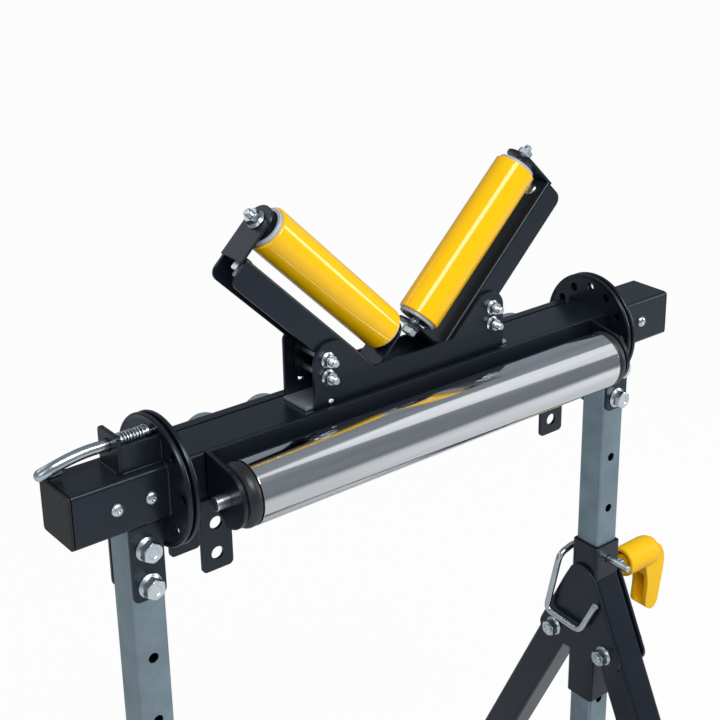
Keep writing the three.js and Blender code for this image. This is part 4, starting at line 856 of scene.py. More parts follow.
def make_legs():
    """Two legs, trimmed at the sleeve and at the sole, and the bar that is welded between them."""
    half_wide, half_deep, half_bar = LEG_WIDE / 2, LEG_DEEP / 2, BAR_SIZE / 2
    tubes = []
    for x in (-POST_X, POST_X):
        low = (x - half_wide, -half_deep, LEG_ROUGH_END)
        high = (x + half_wide, half_deep, LEG_ROUGH_TOP)
        tube = lean(square_tube(low, high, Z, LEG_CORNER, LEG_WALL))
        behind = slab(-SLEEVE_SIZE / 2 - FIT, TRIM_FAR, FLOOR, 0)
        under = slab(-TRIM_FAR, 0, FLOOR - TRIM_FAR, FLOOR + SOLE)
        tubes.append(soften(cut(tube, behind, under), width=0.4))
    reach = POST_X - half_wide + BAR_INTO_LEG
    bar = square_tube(
        (-reach, -half_bar, -BAR_DOWN - half_bar),
        (reach, half_bar, -BAR_DOWN + half_bar),
        X,
        BAR_CORNER,
        LEG_WALL,
    )
    beads = []
    for x in (0.4 - reach, reach - 0.4):
        ring = [
            (x, *leg_place(BAR_DOWN + down, across))
            for across, down in ring_round(half_bar, half_bar, BAR_CORNER / 2)
        ]
        beads.append(wire(ring, TUBE_BEAD, bend=1.2, steps=3, resolution=3))
    return lifted(together(*tubes, lean(bar), *beads))


def make_foot():
    """A rubber shoe round the end of a leg, flat and grooved where it stands."""
    to_floor = (PIVOT_Z - FLOOR) / math.cos(LEG_ANGLE)
    grip = FOOT_TALL / math.cos(LEG_ANGLE)

    def round_leg(margin, below, above):
        half_wide, half_deep = LEG_WIDE / 2 + margin, LEG_DEEP / 2 + margin
        return block(
            (POST_X - half_wide, -half_deep, -to_floor - below),
            (POST_X + half_wide, half_deep, -to_floor + grip + above),
        )

    shoe = round_edges(round_leg(FOOT_WALL, 40, 0), Z, FOOT_CORNER)
    shoe = lean(soften(shoe, width=1.2, steps=3, angle=ROUND))
    room = lean(round_leg(FIT, 10, 10))
    room = kept_inside(room, slab(-TRIM_FAR, 0, FLOOR + SOLE - FIT, 0))
    shoe = cut(shoe, room, slab(-TRIM_FAR, 0, FLOOR - TRIM_FAR, FLOOR))
    for number in range(GROOVE_COUNT):
        y = GROOVE_START + number * GROOVE_PITCH
        shoe = cut(shoe, slab(y, y + GROOVE_WIDE, FLOOR - OVERCUT, FLOOR + GROOVE_DEEP))
    return lifted(soften(shoe, width=0.5, angle=DRILLED))


def make_lever():
    """The lever of a clamp with its domed hub, and the stud that it turns."""
    long = HUB_END - HUB_START
    hub = turned(
        [
            (12.6, 0),
            (13.6, 0.7),
            (14, 2),
            (14.1, long),
            (13.4, long + 5),
            (11.2, long + 9.4),
            (7, long + 12.4),
            (2, long + 13.4),
        ],
        (HUB_START, 0, CLAMP_Z),
        (1, 0, 0),
    )
    recess_start, recess_end = HUB_START - 2, HUB_START + RECESS_DEPTH
    hub = cut(hub, rod_x(recess_start, recess_end, 0, CLAMP_Z, RECESS_RADIUS))
    boss = rod_x(HUB_START + DEEP_SINK, recess_end + 1, 0, CLAMP_Z, BOSS_RADIUS, 40)
    handle = front_plate(
        [
            (285, -243, 3),
            (298, -236.5, 7),
            (309, -246, 10),
            (311.5, -262, 12),
            (303.5, -305, 5),
            (296, -309, 5),
            (286.5, -302, 5),
            (289.5, -276, 10),
            (285, -259, 3),
        ],
        HANDLE_THICK,
        HANDLE_THICK / 2,
        8,
    )
    groove = front_plate(
        [
            (280, -268, 0),
            (293, -271, 3),
            (297.5, -278, 4),
            (294, -298, 5),
            (288, -302.5, 3),
            (280, -303, 0),
        ],
        GROOVE_THICK,
        GROOVE_THICK / 2,
    )
    handle = soften(handle, width=3.2, steps=5, angle=40)
    handle = cut(handle, soften(groove, width=1.6, steps=3, angle=40))
    body = soften(weld(hub, handle), width=0.5, angle=38)
    post_face, stud_gap, stud_pitch = POST_X + POST_SIZE / 2, 0.4, 1.25
    stud = threaded(0, HUB_START + 8 - post_face, STUD_RADIUS, stud_pitch)
    stud = move(stud, (post_face + stud_gap, 0, CLAMP_Z), (0, math.pi / 2, 0))
    return lifted(together(body, boss)), lifted(stud)


def make_lock_pin():
    """A straight wire through sleeve and post, bent back into a loop handle."""
    loop_x = POST_X - 23.5
    route = [
        (POST_X, LOCK_TIP, LOCK_Z),
        (POST_X, 24, LOCK_Z),
        (loop_x + 0.5, 22, LOCK_Z - 3),
        (loop_x, 36, -290),
        (loop_x, -6, -293),
        (loop_x, -23, -259),
    ]
    pin = wire(route, LOCK_RADIUS, bend=8, steps=10, resolution=6)
    return lifted(together(pin, button(DOME, route[0], (0, -1, 0), LOCK_RADIUS, 1.1)))


# Mast


def make_disc(face, way):
    """A pressed index disc with a rolled rim, from its flat face outwards."""
    section = (
        (1.2, 0),
        (0.35, 0.35),
        (0, 1.2),
        (0, DISC_RIM - 1.1),
        (0.35, DISC_RIM - 0.3),
        (1.1, DISC_RIM),
        (1.9, DISC_RIM - 0.3),
        (2.6, DISC_RIM - 1.1),
        (3.6, DISC_PLATE + 0.2),
        (4.6, DISC_PLATE),
    )
    profile = [(DISC_RADIUS - inset, height) for inset, height in section]
    return turned(profile, (face, 0, 0), (way, 0, 0), 96)


def with_index_holes(disc, count, face):
    """The disc with a ring of holes for the index pin."""
    drills = []
    for number in range(count):
        turn = 2 * math.pi * number / count
        y, z = INDEX_RADIUS * math.sin(turn), INDEX_RADIUS * math.cos(turn)
        drills.append(rod_x(face - 2 * OVERCUT, face + 2 * OVERCUT, y, z, INDEX_HOLE, 32))
    return soften(cut(disc, together(*drills)), width=0.25, angle=DRILLED)


def make_saddle():
    """The two straps and the web that hold a stub on its post."""
    under = -BEAM_TALL / 2
    outer = SADDLE_INNER + SADDLE_WALL
    left, right = POST_X - SADDLE_HALF, POST_X + SADDLE_HALF
    straps = []
    for back in (outer, -SADDLE_INNER):
        outline = rectangle(left, right, SADDLE_LOW, under + DEEP_SINK, (5, 5, 0, 0))
        strap = front_plate(outline, SADDLE_WALL, back)
        holes = [
            drill(POST_X, z, M8_HOLE, middle=back, reach=PLATE_DRILL) for z in SADDLE_BOLTS
        ]
        strap = cut(strap, *holes)
        straps.append(soften(strap, width=0.4, angle=DRILLED))
    web = block((left, -outer, under - SADDLE_WALL), (right, outer, under + TOUCH))
    return [*straps, soften(web, width=0.3)]


def make_stub():
    """The short square tube beside the beam, with its disc, spigot and saddle."""
    start = FIXED_FACE + DISC_PLATE - SINK
    spigot = rod_x(FIXED_FACE - SPIGOT_LENGTH, FIXED_FACE + DEEP_SINK, 0, 0, SPIGOT_RADIUS)
    ring = ring_round(BEAM_DEPTH / 2, BEAM_TALL / 2, BEAM_CORNER)
    bead = wire([(start + 0.6, y, -z) for y, z in ring], TUBE_BEAD, bend=2, steps=3, resolution=3)
    disc = with_index_holes(make_disc(FIXED_FACE, 1), FIXED_HOLES, FIXED_FACE)
    return lifted(
        together(
            beam_tube(start, STUB_END),
            disc,
            soften(spigot, width=0.8, steps=3),
            bead,
            *make_saddle(),
        )
    )


def make_pin_bracket():
    """The folded tab that guides the index pin, the guard beside its spring, and their welds."""
    foot = BEAM_TALL / 2 - SINK
    tab_outline = rectangle(-TAB_HALF, TAB_HALF, foot, TAB_TOP, (0, 0, 3.5, 2.5))
    hole_start, hole_end = TAB_X - OVERCUT, TAB_X + TAB_THICK + OVERCUT
    hole = rod_x(hole_start, hole_end, 0, INDEX_RADIUS, INDEX_ROD + BOLT_FIT, 40)
    tab = soften(cut(end_plate(tab_outline, TAB_THICK, TAB_X), hole), width=0.5)
    disc_back = -FIXED_FACE - DISC_PLATE
    guard_outline = rectangle(
        TAB_X + DEEP_SINK, disc_back + TOUCH, foot, GUARD_TOP, (0, 0, 0.5, 0.5)
    )
    guard = front_plate(guard_outline, GUARD_THICK, GUARD_THICK - TAB_HALF)
    front, low = -TAB_HALF, BEAM_TALL / 2 + 0.2
    guard_bead = [(TAB_X + 2, front - 0.3, low), (disc_back - 0.8, front - 0.3, low)]
    disc_bead = [
        (disc_back - 0.4, front - 0.2, low),
        (disc_back - 0.4, front - 0.2, GUARD_TOP - 3),
    ]
    tab_bead = [(TAB_X - 0.3, front + 2, low), (TAB_X - 0.3, TAB_HALF - 2, low)]
    return [
        tab,
        soften(guard, width=0.6, steps=3),
        wire(guard_bead, 1.1),
        wire(disc_bead, 0.9),
        wire(tab_bead, 1.0),
    ]


def make_end_cap():
    """The plastic cap of a stub, with the plug that holds it."""
    start = STUB_END + FIT
    face = round_edges(beam_block(start, start + CAP_FACE), X, BEAM_CORNER, 6)
    plug = beam_block(STUB_END - PLUG_LONG, start + DEEP_SINK, inset=BEAM_WALL + FIT)
    plug = round_edges(plug, X, 1, 3)
    return lifted(together(soften(face, width=1.3, steps=4, angle=ROUND), plug))


def make_post():
    """A square post with its height holes and the holes of its saddle bolts."""
    half = POST_SIZE / 2
    low, high = (POST_X - half, -half, POST_BOTTOM), (POST_X + half, half, POST_TOP)
    tube = square_tube(low, high, Z, POST_CORNER, POST_WALL, 6)
    heights = [FIRST_HOLE - number * HOLE_PITCH for number in range(HOLE_COUNT)]
    drills = [drill(POST_X, z, HOLE_RADIUS, reach=POST_DRILL) for z in heights]
    drills += [drill(POST_X, z, M8_HOLE, reach=POST_DRILL) for z in SADDLE_BOLTS]
    return lifted(soften(cut(tube, together(*drills)), width=0.25, angle=DRILLED))


def make_index_pin():
    """A stepped pin: a nose that enters the discs, a collar, and a hook to pull."""
    z = INDEX_RADIUS
    nose = turned(
        [
            (PIN_NOSE - 1.2, 0),
            (PIN_NOSE - 0.5, 0.8),
            (PIN_NOSE, 2.4),
            (PIN_NOSE, PIN_TIP_X - COLLAR_X),
        ],
        (PIN_TIP_X, 0, z),
        (-1, 0, 0),
        40,
    )
    collar = soften(rod_x(COLLAR_X, COLLAR_X + COLLAR_THICK, 0, z, COLLAR_RADIUS))
    # The bent grip, as shares of how far it reaches out, to the back and down
    length, across, drop = 44.1, 8.6, 11.2
    shares = (
        (-0.39, 0, 0),
        (0.018, 0, 0),
        (0.336, 0, 0),
        (0.585, 0, -0.107),
        (0.789, 0.07, -0.304),
        (0.925, 0.302, -0.554),
        (1, 0.651, -0.804),
        (0.88, 1, -1),
        (0.676, 0.977, -0.946),
    )
    points = [(COLLAR_X + COLLAR_THICK / 2, 0, z)]
    points += [(TAB_X - a * length, b * across, z + c * drop) for a, b, c in shares]
    path = smooth_path(points, 10)
    tip = button(DOME, path[-1], path[-1] - path[-2], INDEX_ROD, 1.3)
    return lifted(together(tube_through(path, INDEX_ROD, 9), nose, collar, tip))


def make_spring():
    """A coil between the tab and the collar, whose end turns just clear both."""
    start, end, steps = TAB_X + TAB_THICK + FIT, COLLAR_X - FIT, 28
    reach = end - start - 2 * SPRING_WIRE
    total = SPRING_TURNS * steps
    path = []
    for i in range(int(total) + 1):
        turn = 2 * math.pi * i / steps
        across, up = SPRING_RADIUS * math.sin(turn), SPRING_RADIUS * math.cos(turn)
        path.append((start + SPRING_WIRE + reach * i / total, across, INDEX_RADIUS + up))
    return lifted(tube_through(path, SPRING_WIRE, 3))


# Beam


def make_beam():
    """The turning square tube, with a drilled disc on each end."""
    half = TURN_FACE - DISC_PLATE + SINK
    members = [beam_tube(-half, half)]
    for side in (-1, 1):
        bore = rod_x(side * BORE_START, side * BORE_END, 0, 0, SPIGOT_RADIUS + FIT)
        disc = cut(make_disc(side * TURN_FACE, -side), bore)
        members.append(with_index_holes(disc, TURN_HOLES, side * TURN_FACE))
    return lifted(together(*members))


def make_cradle():
    """One folded sheet: a long back, and a round ear bent out at each end."""
    back = -BEAM_DEPTH / 2 - FIT
    sheet = block(
        (-CRADLE_END, back - CRADLE_THICK, CRADLE_LOW), (CRADLE_END, back, CRADLE_HIGH)
    )
    members = [soften(sheet, width=0.6, steps=3)]
    centre, root = ROLLER_Y + 1, back - 0.4
    rims = []
    for turn in (math.radians(92), math.radians(262)):
        y, z = centre + EAR_RADIUS * math.cos(turn), ROLLER_Z + EAR_RADIUS * math.sin(turn)
        rims.append((y, z, 0))
    outline = [*rims, (root, CRADLE_LOW, 0), (root, CRADLE_HIGH, 0)]
    for x in (-CRADLE_END, CRADLE_END - EAR_THICK):
        end = x + EAR_THICK
        disc = rod_x(x, end, centre, ROLLER_Z, EAR_RADIUS, 96)
        trim = block(
            (x - OVERCUT, centre + 3.5, -DRILL_REACH), (end + OVERCUT, 0, DRILL_REACH)
        )
        ear = weld(cut(disc, trim), end_plate(outline, EAR_THICK, x))
        bore = rod_x(x - OVERCUT, end + OVERCUT, ROLLER_Y, ROLLER_Z, AXLE_RADIUS + FIT)
        members.append(soften(cut(ear, bore), width=0.6, steps=3, angle=40))
    return lifted(together(*members))


def make_axle():
    axle = rod_x(-AXLE_HALF, AXLE_HALF, ROLLER_Y, ROLLER_Z, AXLE_RADIUS, 40)
    return lifted(soften(axle, width=0.8, steps=3, angle=ROUND))


def make_long_roller():
    half, inside = ROLLER_HALF, ROLLER_HALF + OVERCUT
    outer = rod_x(-half, half, ROLLER_Y, ROLLER_Z, ROLLER_RADIUS, 128)
    inner = rod_x(-inside, inside, ROLLER_Y, ROLLER_Z, ROLLER_RADIUS - ROLLER_WALL, 96)
    return lifted(soften(cut(outer, inner), width=0.3, angle=ROUND))


def make_roller_cap():
    """A thick rubber ring with a rounded shoulder and a hub round the axle."""
    start, end, rim = ROLLER_HALF + FIT, ROLLER_CAP_LONG, ROLLER_RADIUS
    crown, belly, lip = end * 0.42, 7.5, 1.4
    plug = rim - ROLLER_WALL - FIT
    near = [math.radians(degrees) for degrees in range(25, 90, 13)]
    far = [math.radians(degrees) for degrees in range(0, 91, 9)]
    profile = [(plug, -ROLLER_CAP_INSIDE), (plug, 0)]
    profile += [(rim - lip + lip * math.sin(a), crown - crown * math.cos(a)) for a in near]
    profile += [
        (rim - belly + belly * math.cos(a), crown + (end - crown) * math.sin(a)) for a in far
    ]
    profile += [
        (rim - 8.8, end * 0.97),
        (rim - 9.4, end * 0.86),
        (AXLE_RADIUS + 4.4, end * 0.86),
        (AXLE_RADIUS + 3.8, end * 0.97),
        (AXLE_RADIUS + 3.2, end),
        (AXLE_RADIUS + 1.2, end),
    ]
    cap = turned(profile, (start, ROLLER_Y, ROLLER_Z), (1, 0, 0), 96)
    low, high = start - 4 * OVERCUT, start + 4 * OVERCUT
    return lifted(cut(cap, rod_x(low, high, ROLLER_Y, ROLLER_Z, AXLE_RADIUS + FIT)))


def make_bracket(middle):
    """Two drilled straps and the web between them, round a timber under the beam."""
    inner = BEAM_DEPTH / 2 + FIT
    under = -BEAM_TALL / 2 - FIT
    left, right = middle - BRACKET_HALF, middle + BRACKET_HALF

    def strap(low, high, back):
        outline = rectangle(left, right, low, high, (3.5, 3.5, 1, 1))
        side = front_plate(outline, BRACKET_WALL, back)
        holes = [
            drill(middle, z, BRACKET_HOLE_RADIUS, 40, back, PLATE_DRILL) for z in BRACKET_HOLES
        ]
        return soften(cut(side, *holes), width=0.5, angle=DRILLED)

    web = block(
        (left, -inner - DEEP_SINK, under - BRACKET_WALL), (right, inner + DEEP_SINK, under)
    )
    return lifted(
        together(
            strap(BRACKET_FRONT_LOW, BRACKET_FRONT_TOP, -inner),
            strap(BRACKET_BACK_LOW, under, inner + BRACKET_WALL),
            soften(web, width=0.4),
        )
    )


def ball_places():
    """The places of the balls along the beam."""
    return [(i - (BALL_COUNT - 1) / 2) * BALL_PITCH for i in range(BALL_COUNT)]


def make_rail():
    """The channel that holds the balls, open towards the beam."""
    near, far = BEAM_DEPTH / 2 + FIT, BEAM_DEPTH / 2 + RAIL_DEPTH
    half, wall, end = BEAM_TALL / 2 - 0.2, RAIL_WALL, RAIL_HALF + OVERCUT
    rail = block((-RAIL_HALF, near, -half), (RAIL_HALF, far, half))
    rail = round_edges(rail, X, 2, 4, lambda spot: spot.y > far - 1)
    rail = cut(rail, block((-end, near - OVERCUT, wall - half), (end, far - wall, half - wall)))
    drills = [rod((x, near - 4, 0), (x, far + 4, 0), BALL_HOLE, 64) for x in ball_places()]
    return lifted(soften(cut(rail, together(*drills)), width=0.4, angle=DRILLED))


def make_cup():
    """The bright cup of a ball at the middle of the beam, with its crimped lip."""
    far = BEAM_DEPTH / 2 + RAIL_DEPTH
    outside = [
        (17.4, far - 0.5),
        (17.4, far + 0.7),
        (16.6, far + 1.5),
        (15.9, far + 2.4),
        (15.6, far + 3.6),
        (15.4, far + 8),
        (15.0, far + 10.2),
        (14.2, far + 12.4),
        (13.3, BALL_Y + 2.9),
    ]
    inside = [
        (13.1, far - 4),
        (13.1, far + 10),
        (12.9, BALL_Y + 2.1),
        (12.75, BALL_Y + 4),
    ]
    return lifted(cut(turned(outside, direction=(0, 1, 0)), turned(inside, direction=(0, 1, 0))))


def make_ball(x):
    deselect()
    bpy.ops.mesh.primitive_uv_sphere_add(
        segments=48, ring_count=28, radius=BALL_RADIUS * MM, location=Vector((x, BALL_Y, 0)) * MM
    )
    return lifted(settle(bpy.context.object))


# V head


def raised(piece):
    """Turns a piece that is laid out along the right arm to the arm's slope."""
    return move(piece, turn=(0, -ARM_SLOPE, 0))


def make_base():
    low = BEAM_TALL / 2 + FIT
    sheet = block((-BASE_HALF, -ARM_HALF, low), (BASE_HALF, ARM_HALF, low + BASE_THICK))
    return lifted(soften(sheet, width=0.4))


def make_base_screw():
    front = -YOKE_INNER - YOKE_WALL
    return lifted(button(DOME, (-76, front, 22.2), (0, -1, 0), 2.3, 1.5))


def make_yoke(back, edge, high, corner, spare_hole):
    """A yoke plate whose notch has sides at the slope of the arms."""
    low, floor, notch = BEAM_TALL / 2 + 0.6, 38, 37.5
    shoulder = notch + high - floor
    outline = two_sided(
        [
            (edge, low, 1),
            (edge, high, corner),
            (shoulder, high, 5.8),
            (notch, floor, 1.5),
        ]
    )
    places = [(x, z, M6_HOLE) for x, z in YOKE_BOLTS]
    if spare_hole:
        places.append(YOKE_SPARE_HOLE)
    holes = [
        drill(side * x, z, radius, 28, back, PLATE_DRILL)
        for side in (1, -1)
        for x, z, radius in places
    ]
    side = cut(front_plate(outline, YOKE_WALL, back, 10), together(*holes))
    return lifted(soften(side, width=0.45, angle=DRILLED))


def tab_piece(along, low):
    """A tab with a round top that holds an end of the V roller's axle."""
    end, half = along + TAB_SHEET, TAB_WIDTH_HALF
    tab = block((along, -half, low), (end, half, V_OVER))
    tab = weld(tab, rod_x(along, end, 0, V_OVER, half, 64))
    hole = rod_x(along - OVERCUT, end + OVERCUT, 0, V_OVER, M6_HOLE, 28)
    return soften(cut(tab, hole), width=0.45, angle=45)


def make_arm():
    """The folded channel of the right arm, with its lobes, its trimmed foot and its inner tab."""
    body = block((ARM_START, -ARM_HALF, ARM_LOW), (ARM_END, ARM_HALF, ARM_TOP))
    body = round_edges(body, Y, 7, 8, lambda spot: spot.x > ARM_END - 1 and spot.z < 0)
    body = round_edges(body, X, 2, 4, lambda spot: spot.z > 0)
    lobe = front_plate(rectangle(69, 86, 33, 62, (2, 6, 6, 2)), 2 * ARM_HALF, ARM_HALF)
    body = weld(raised(body), lobe)
    inner_half = ARM_HALF - ARM_WALL
    hollow = block(
        (ARM_START - OVERCUT, -inner_half, -2 * DRILL_REACH),
        (ARM_END + OVERCUT, inner_half, ARM_TOP - ARM_WALL),
    )
    foot = slab(-DRILL_REACH, DRILL_REACH, -DRILL_REACH, BEAM_TALL / 2 + ARM_OVER_BASE)
    holes = (drill(x, z, M6_HOLE, 28) for x, z in YOKE_BOLTS)
    body = soften(cut(body, raised(hollow), foot, *holes), width=0.45, angle=45)
    return lifted(together(body, raised(tab_piece(ARM_START, 0.6))))


def make_outer_tab():
    """The tab at the end of the arm, with the foot by which it is bolted under the arm's web."""
    along = ARM_END + TAB_GAP
    under = ARM_TOP - ARM_WALL - FIT
    foot = block(
        (TAB_FOOT_START, -TAB_FOOT_HALF, under - TAB_SHEET), (along + 1, TAB_FOOT_HALF, under)
    )
    tab = tab_piece(along, under - TAB_SHEET)
    return lifted(raised(together(tab, soften(foot, width=0.4))))


def make_tab_bolt():
    """The bolt that holds the outer tab under the web of the arm."""
    under = (TAB_BOLT_AT, 0, ARM_TOP - ARM_WALL - FIT - TAB_SHEET)
    down = (math.pi, 0, 0)
    head = button(DOME, (TAB_BOLT_AT, 0, ARM_TOP), (0, 0, 1), 5.4, 2.2)
    nut = move(hex_prism(0, 4.8, 10), under, down)
    thread = move(threaded(0, 8.2, M6[0], 1), under, down)
    return lifted(raised(together(head, nut, thread)))


def make_v_axle():
    start, end = ARM_START - FIT, ARM_END + TAB_GAP + TAB_SHEET + 2 * FIT
    return lifted(raised(bolt((start, 0, V_OVER), (1, 0, 0), end - start, M6_WIDE, 4)))


def make_v_roller():
    """The yellow sleeve, the grey tube inside it that stands out, and its bearings."""
    start, length, out = (V_START, 0, V_OVER), V_END - V_START, V_RING_OUT

    def bored(piece, radius):
        return cut(piece, rod_x(V_START - OVERCUT, V_END + OVERCUT, 0, V_OVER, radius, 96))

    sleeve_section = [
        (1.7, out),
        (0.5, out + 0.1),
        (0, out + 0.6),
        (0, length - out - 0.6),
        (0.5, length - out - 0.1),
        (1.7, length - out),
    ]
    ring_section = [(2.4, 0), (1.9, 0.5), (1.9, length - 0.5), (2.4, length)]
    bearing_section = [
        (4.5, 0.8),
        (4.7, 0.3),
        (5.4, 0),
        (8.4, 0),
        (9, 0.8),
        (9.6, 0.8),
        (9.9, 8),
        (4.5, 9),
    ]

    def part(section, place, way, sides):
        profile = [(V_RADIUS - inset, along) for inset, along in section]
        return turned(profile, place, (way, 0, 0), sides)

    sleeve = bored(part(sleeve_section, start, 1, 96), V_RADIUS - 1.8)
    ring = bored(part(ring_section, start, 1, 96), V_RADIUS - 4.4)
    bearings = []
    for x, way in ((V_START + 1, 1), (V_END - 1, -1)):
        bore = rod_x(x - 3 * OVERCUT, x + 3 * OVERCUT, 0, V_OVER, V_BORE, 32)
        bearings.append(cut(part(bearing_section, (x, 0, V_OVER), way, 72), bore))
    ring = soften(ring, width=0.25, angle=DRILLED)
    return [lifted(raised(piece)) for piece in (sleeve, ring, together(*bearings))]


# Studio, in metres


def lay_floor():
    """A wide pale floor, which the camera sees paler than the lamps make it."""
    deselect()
    bpy.ops.mesh.primitive_plane_add(size=14, location=(0, 1.5, 0))
    floor = bpy.context.object
    floor.name = "studio floor"
    paint = Paint("pale floor")
    speckle = paint.noise(60, 2)
    paint.set(
        Base_Color=paint.blend(speckle, rgb(0.79, 0.8, 0.805), rgb(0.82, 0.83, 0.835)),
        Roughness=0.7,
    )
    lit = Socket(paint, paint.shader.outputs[0])
    glow = paint.node("ShaderNodeEmission", {}, {"Strength": 1.0})[0]
    seen = paint.shown_to_camera(0.96, lit, glow)
    paint.feed(paint.found("OUTPUT_MATERIAL").inputs["Surface"], seen)
    floor.data.materials.append(paint.material)


def surround():
    """A dim sky for the object, and behind it the tone that the far floor has."""
    world = bpy.data.worlds.new("studio")
    world.use_nodes = True
    bpy.context.scene.world = world
    world.node_tree.nodes.clear()
    nodes = Nodes(world.node_tree)

    def background(colour, strength):
        values = {"Color": colour, "Strength": strength}
        return nodes.node("ShaderNodeBackground", {}, values)[0]

    sky = background(rgb(0.8, 0.9, 1.0), 0.3)
    backdrop = background(rgb(1, 1, 1), 0.948)
    seen = nodes.shown_to_camera(1, sky, backdrop)
    nodes.node("ShaderNodeOutputWorld", {}, {"Surface": seen})


def area_lamp(name, place, size, watts, target=(0, 0, 0.7)):
    deselect()
    bpy.ops.object.light_add(type="AREA", location=place)
    lamp = bpy.context.object
    lamp.name = name
    lamp.data.shape = "RECTANGLE"
    lamp.data.size, lamp.data.size_y = size
    lamp.data.energy = watts
    lamp.rotation_mode = "QUATERNION"
    aim = Vector(target) - Vector(place)
    lamp.rotation_quaternion = aim.to_track_quat("-Z", "Y")


def light_object():
    area_lamp("key", (-0.25, -1.5, 2.6), size=(2.3, 0.7), watts=54)
    area_lamp("right panel", (2.15, -1.15, 2.7), size=(1.4, 2.0), watts=6)
    area_lamp("left fill", (-2.4, -0.9, 1.3), size=(0.5, 1.4), watts=5)
    area_lamp("back rim", (-1.5, 1.9, 2.3), size=(2.2, 0.5), watts=5)
    area_lamp("right strip", (2.2, -1.2, 1.2), size=(0.5, 1.2), watts=14, target=(0.2, 0, 0.7))


def set_camera():
    """The camera that was solved from the photograph's tubes and discs."""
    data = bpy.data.cameras.new("photo camera")
    camera = bpy.data.objects.new("photo camera", data)
    bpy.context.collection.objects.link(camera)
    right = Vector((0.75861, -0.65154, 0.00225))
    down = Vector((-0.21946, -0.25878, -0.94068))
    ahead = Vector((0.61347, 0.71311, -0.3393))
    place = Vector((-0.6031, -0.7393, 1.1592))
    basis = Matrix((right, -down, -ahead)).transposed().to_4x4()
    camera.matrix_world = Matrix.Translation(place) @ basis
    # In pixels of the photograph
    focal, centre_x, centre_y, side = 1403.5, 434.1, 273.3, 720
    data.sensor_width = 36
    data.lens = focal * data.sensor_width / side
    data.shift_x = -(centre_x - side / 2) / side
    data.shift_y = (centre_y - side / 2) / side
    data.clip_start = 0.05
    bpy.context.scene.camera = camera


# Everything in its place


def on_side(piece, side):
    """The piece itself on the right, or its mirror image on the left."""
    return piece if side > 0 else mirrored(piece)


def placed(piece, x, z):
    """A copy of a piece that was made at the origin."""
    return move(copy_of(piece), (x, 0, z + BEAM_HEIGHT))


set_camera()

sleeve = make_sleeve()
post = make_post()
cap = make_end_cap()
lever, stud = make_lever()
lock_pin = make_lock_pin()
foot = make_foot()
stub = make_stub()
saddle_face = SADDLE_INNER + SADDLE_WALL + FIT
saddle_bolt = bolt((0, -saddle_face, 0), (0, 1, 0), 2 * saddle_face, M8, 3)
hinge_face = SLEEVE_SIZE / 2 + HINGE_PLATE + FIT
pivot_bolt = bolt((POST_X + hinge_face, 0, 0), (-1, 0, 0), 2 * hinge_face, M8, 3)
pivot_bolts = {
    "front": move(copy_of(pivot_bolt), (0, -PIVOT_Y, PIVOT_Z + BEAM_HEIGHT)),
    "back": move(pivot_bolt, (0, PIVOT_Y, PIVOT_Z + BEAM_HEIGHT)),
}
yoke_face = YOKE_INNER + YOKE_WALL + FIT
yoke_bolt = bolt((0, yoke_face, 0), (0, -1, 0), 2 * yoke_face, M6, 5.3)
roller_cap = make_roller_cap()
arm = make_arm()
outer_tab = make_outer_tab()
tab_bolt = make_tab_bolt()
yellow, ring, bearings = make_v_roller()
v_axle = make_v_axle()
rivets = together(
    button(RIVET, (0, -BEAM_DEPTH / 2, 0), (0, -1, 0), RIVET_RADIUS, RIVET_TALL),
    button(RIVET, (0, BEAM_DEPTH / 2, 0), (0, 1, 0), RIVET_RADIUS, RIVET_TALL),
)

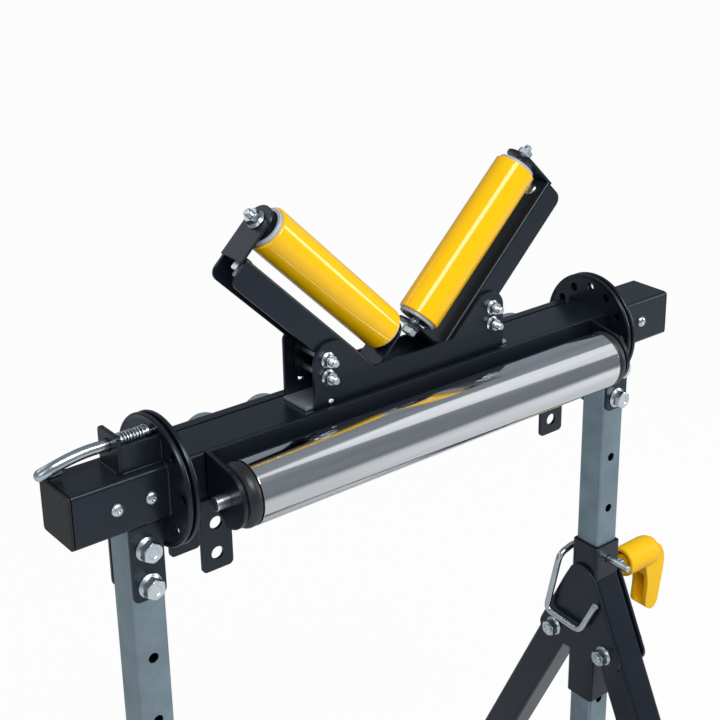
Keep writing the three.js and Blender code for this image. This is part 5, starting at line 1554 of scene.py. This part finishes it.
for label, side in (("left", -1), ("right", 1)):
    dress(on_side(sleeve, side), f"sleeve_{label}", "stand", BLACK)
    dress(on_side(post, side), f"post_{label}", "mast", ZINC)
    dress(on_side(cap, side), f"end_cap_{label}", "mast", CAP)
    dress(on_side(lever, side), f"clamp_lever_{label}", f"clamp_{label}", LEVER)
    add(on_side(stud, side), f"clamp_stud_{label}", f"clamp_{label}", BOLT)
    dress(on_side(lock_pin, side), f"lock_pin_{label}", f"lock_{label}", ROD)
    body = on_side(stub, side)
    if side < 0:
        body = together(body, *(lifted(each) for each in make_pin_bracket()))
    dress(body, f"stub_{label}", "mast", BLACK)
    for level, z in zip(("upper", "lower"), SADDLE_BOLTS):
        each = placed(saddle_bolt, side * POST_X, z)
        dress(each, f"saddle_bolt_{level}_{label}", "mast", BOLT)
    for place, each in pivot_bolts.items():
        dress(on_side(each, side), f"pivot_bolt_{place}_{label}", "stand", BOLT)
    shoe = on_side(foot, side)
    dress(mirrored(shoe, Y), f"foot_back_{label}", "back_legs", RUBBER)
    dress(shoe, f"foot_front_{label}", "front_legs", RUBBER)
    for number, x in enumerate(RIVET_PLACES, 1):
        add(placed(rivets, side * x, 0), f"stub_rivets_{number}_{label}", "mast", BOLT)
    dress(on_side(roller_cap, side), f"long_roller_cap_{label}", "long_roller", RUBBER)
    dress(on_side(arm, side), f"v_arm_{label}", "beam", BLACK)
    dress(on_side(outer_tab, side), f"v_tab_{label}", "beam", BLACK)
    add(on_side(tab_bolt, side), f"v_tab_bolt_{label}", "beam", BOLT)
    spinner = f"v_roller_{label}"
    dress(on_side(yellow, side), spinner, spinner, YELLOW)
    add(on_side(ring, side), f"v_roller_ring_{label}", spinner, GREY)
    add(on_side(bearings, side), f"v_roller_bearing_{label}", spinner, CAP)
    dress(on_side(v_axle, side), f"v_axle_{label}", "beam", BOLT)
    for level, (x, z) in zip(("upper", "lower"), YOKE_BOLTS):
        each = placed(yoke_bolt, side * x, z)
        dress(each, f"yoke_bolt_{level}_{label}", "beam", BOLT)

legs = make_legs()
dress(mirrored(legs, Y), "leg_frame_back", "back_legs", BLACK)
dress(legs, "leg_frame_front", "front_legs", BLACK)
dress(make_index_pin(), "index_pin", "index", ROD)
spring = dress(make_spring(), "index_spring", "index", BOLT)
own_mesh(spring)
dress(make_beam(), "beam", "beam", BLACK)
dress(make_cradle(), "roller_cradle", "beam", BLACK)
dress(make_axle(), "roller_axle", "beam", BOLT)
dress(make_long_roller(), "long_roller", "long_roller", CHROME)
dress(make_bracket(BRACKET_LEFT), "timber_bracket_left", "beam", BLACK)
dress(make_bracket(BRACKET_RIGHT), "timber_bracket_right", "beam", BLACK)
dress(make_rail(), "ball_rail", "beam", BLACK)
cup = make_cup()
cups = [move(copy_of(cup), (x, 0, 0)) for x in ball_places()]
for number, (x, each) in enumerate(zip(ball_places(), cups), 1):
    add(each, f"ball_cup_{number}", "beam", BOLT)
    dress(make_ball(x), f"ball_{number}", f"ball_{number}", CHROME)
dress(make_base(), "v_base", "beam", SHEET)
add(make_base_screw(), "v_base_screw", "beam", BOLT)
dress(make_yoke(-YOKE_INNER, 89, 67, 14, False), "yoke_plate_front", "beam", BLACK)
dress(make_yoke(YOKE_INNER + YOKE_WALL, 93.5, 69, 6, True), "yoke_plate_back", "beam", BLACK)

for spare in (saddle_bolt, yoke_bolt, rivets, cup):
    discard(spare)

lay_floor()
surround()
light_object()
bpy.context.scene.view_settings.view_transform = "Standard"
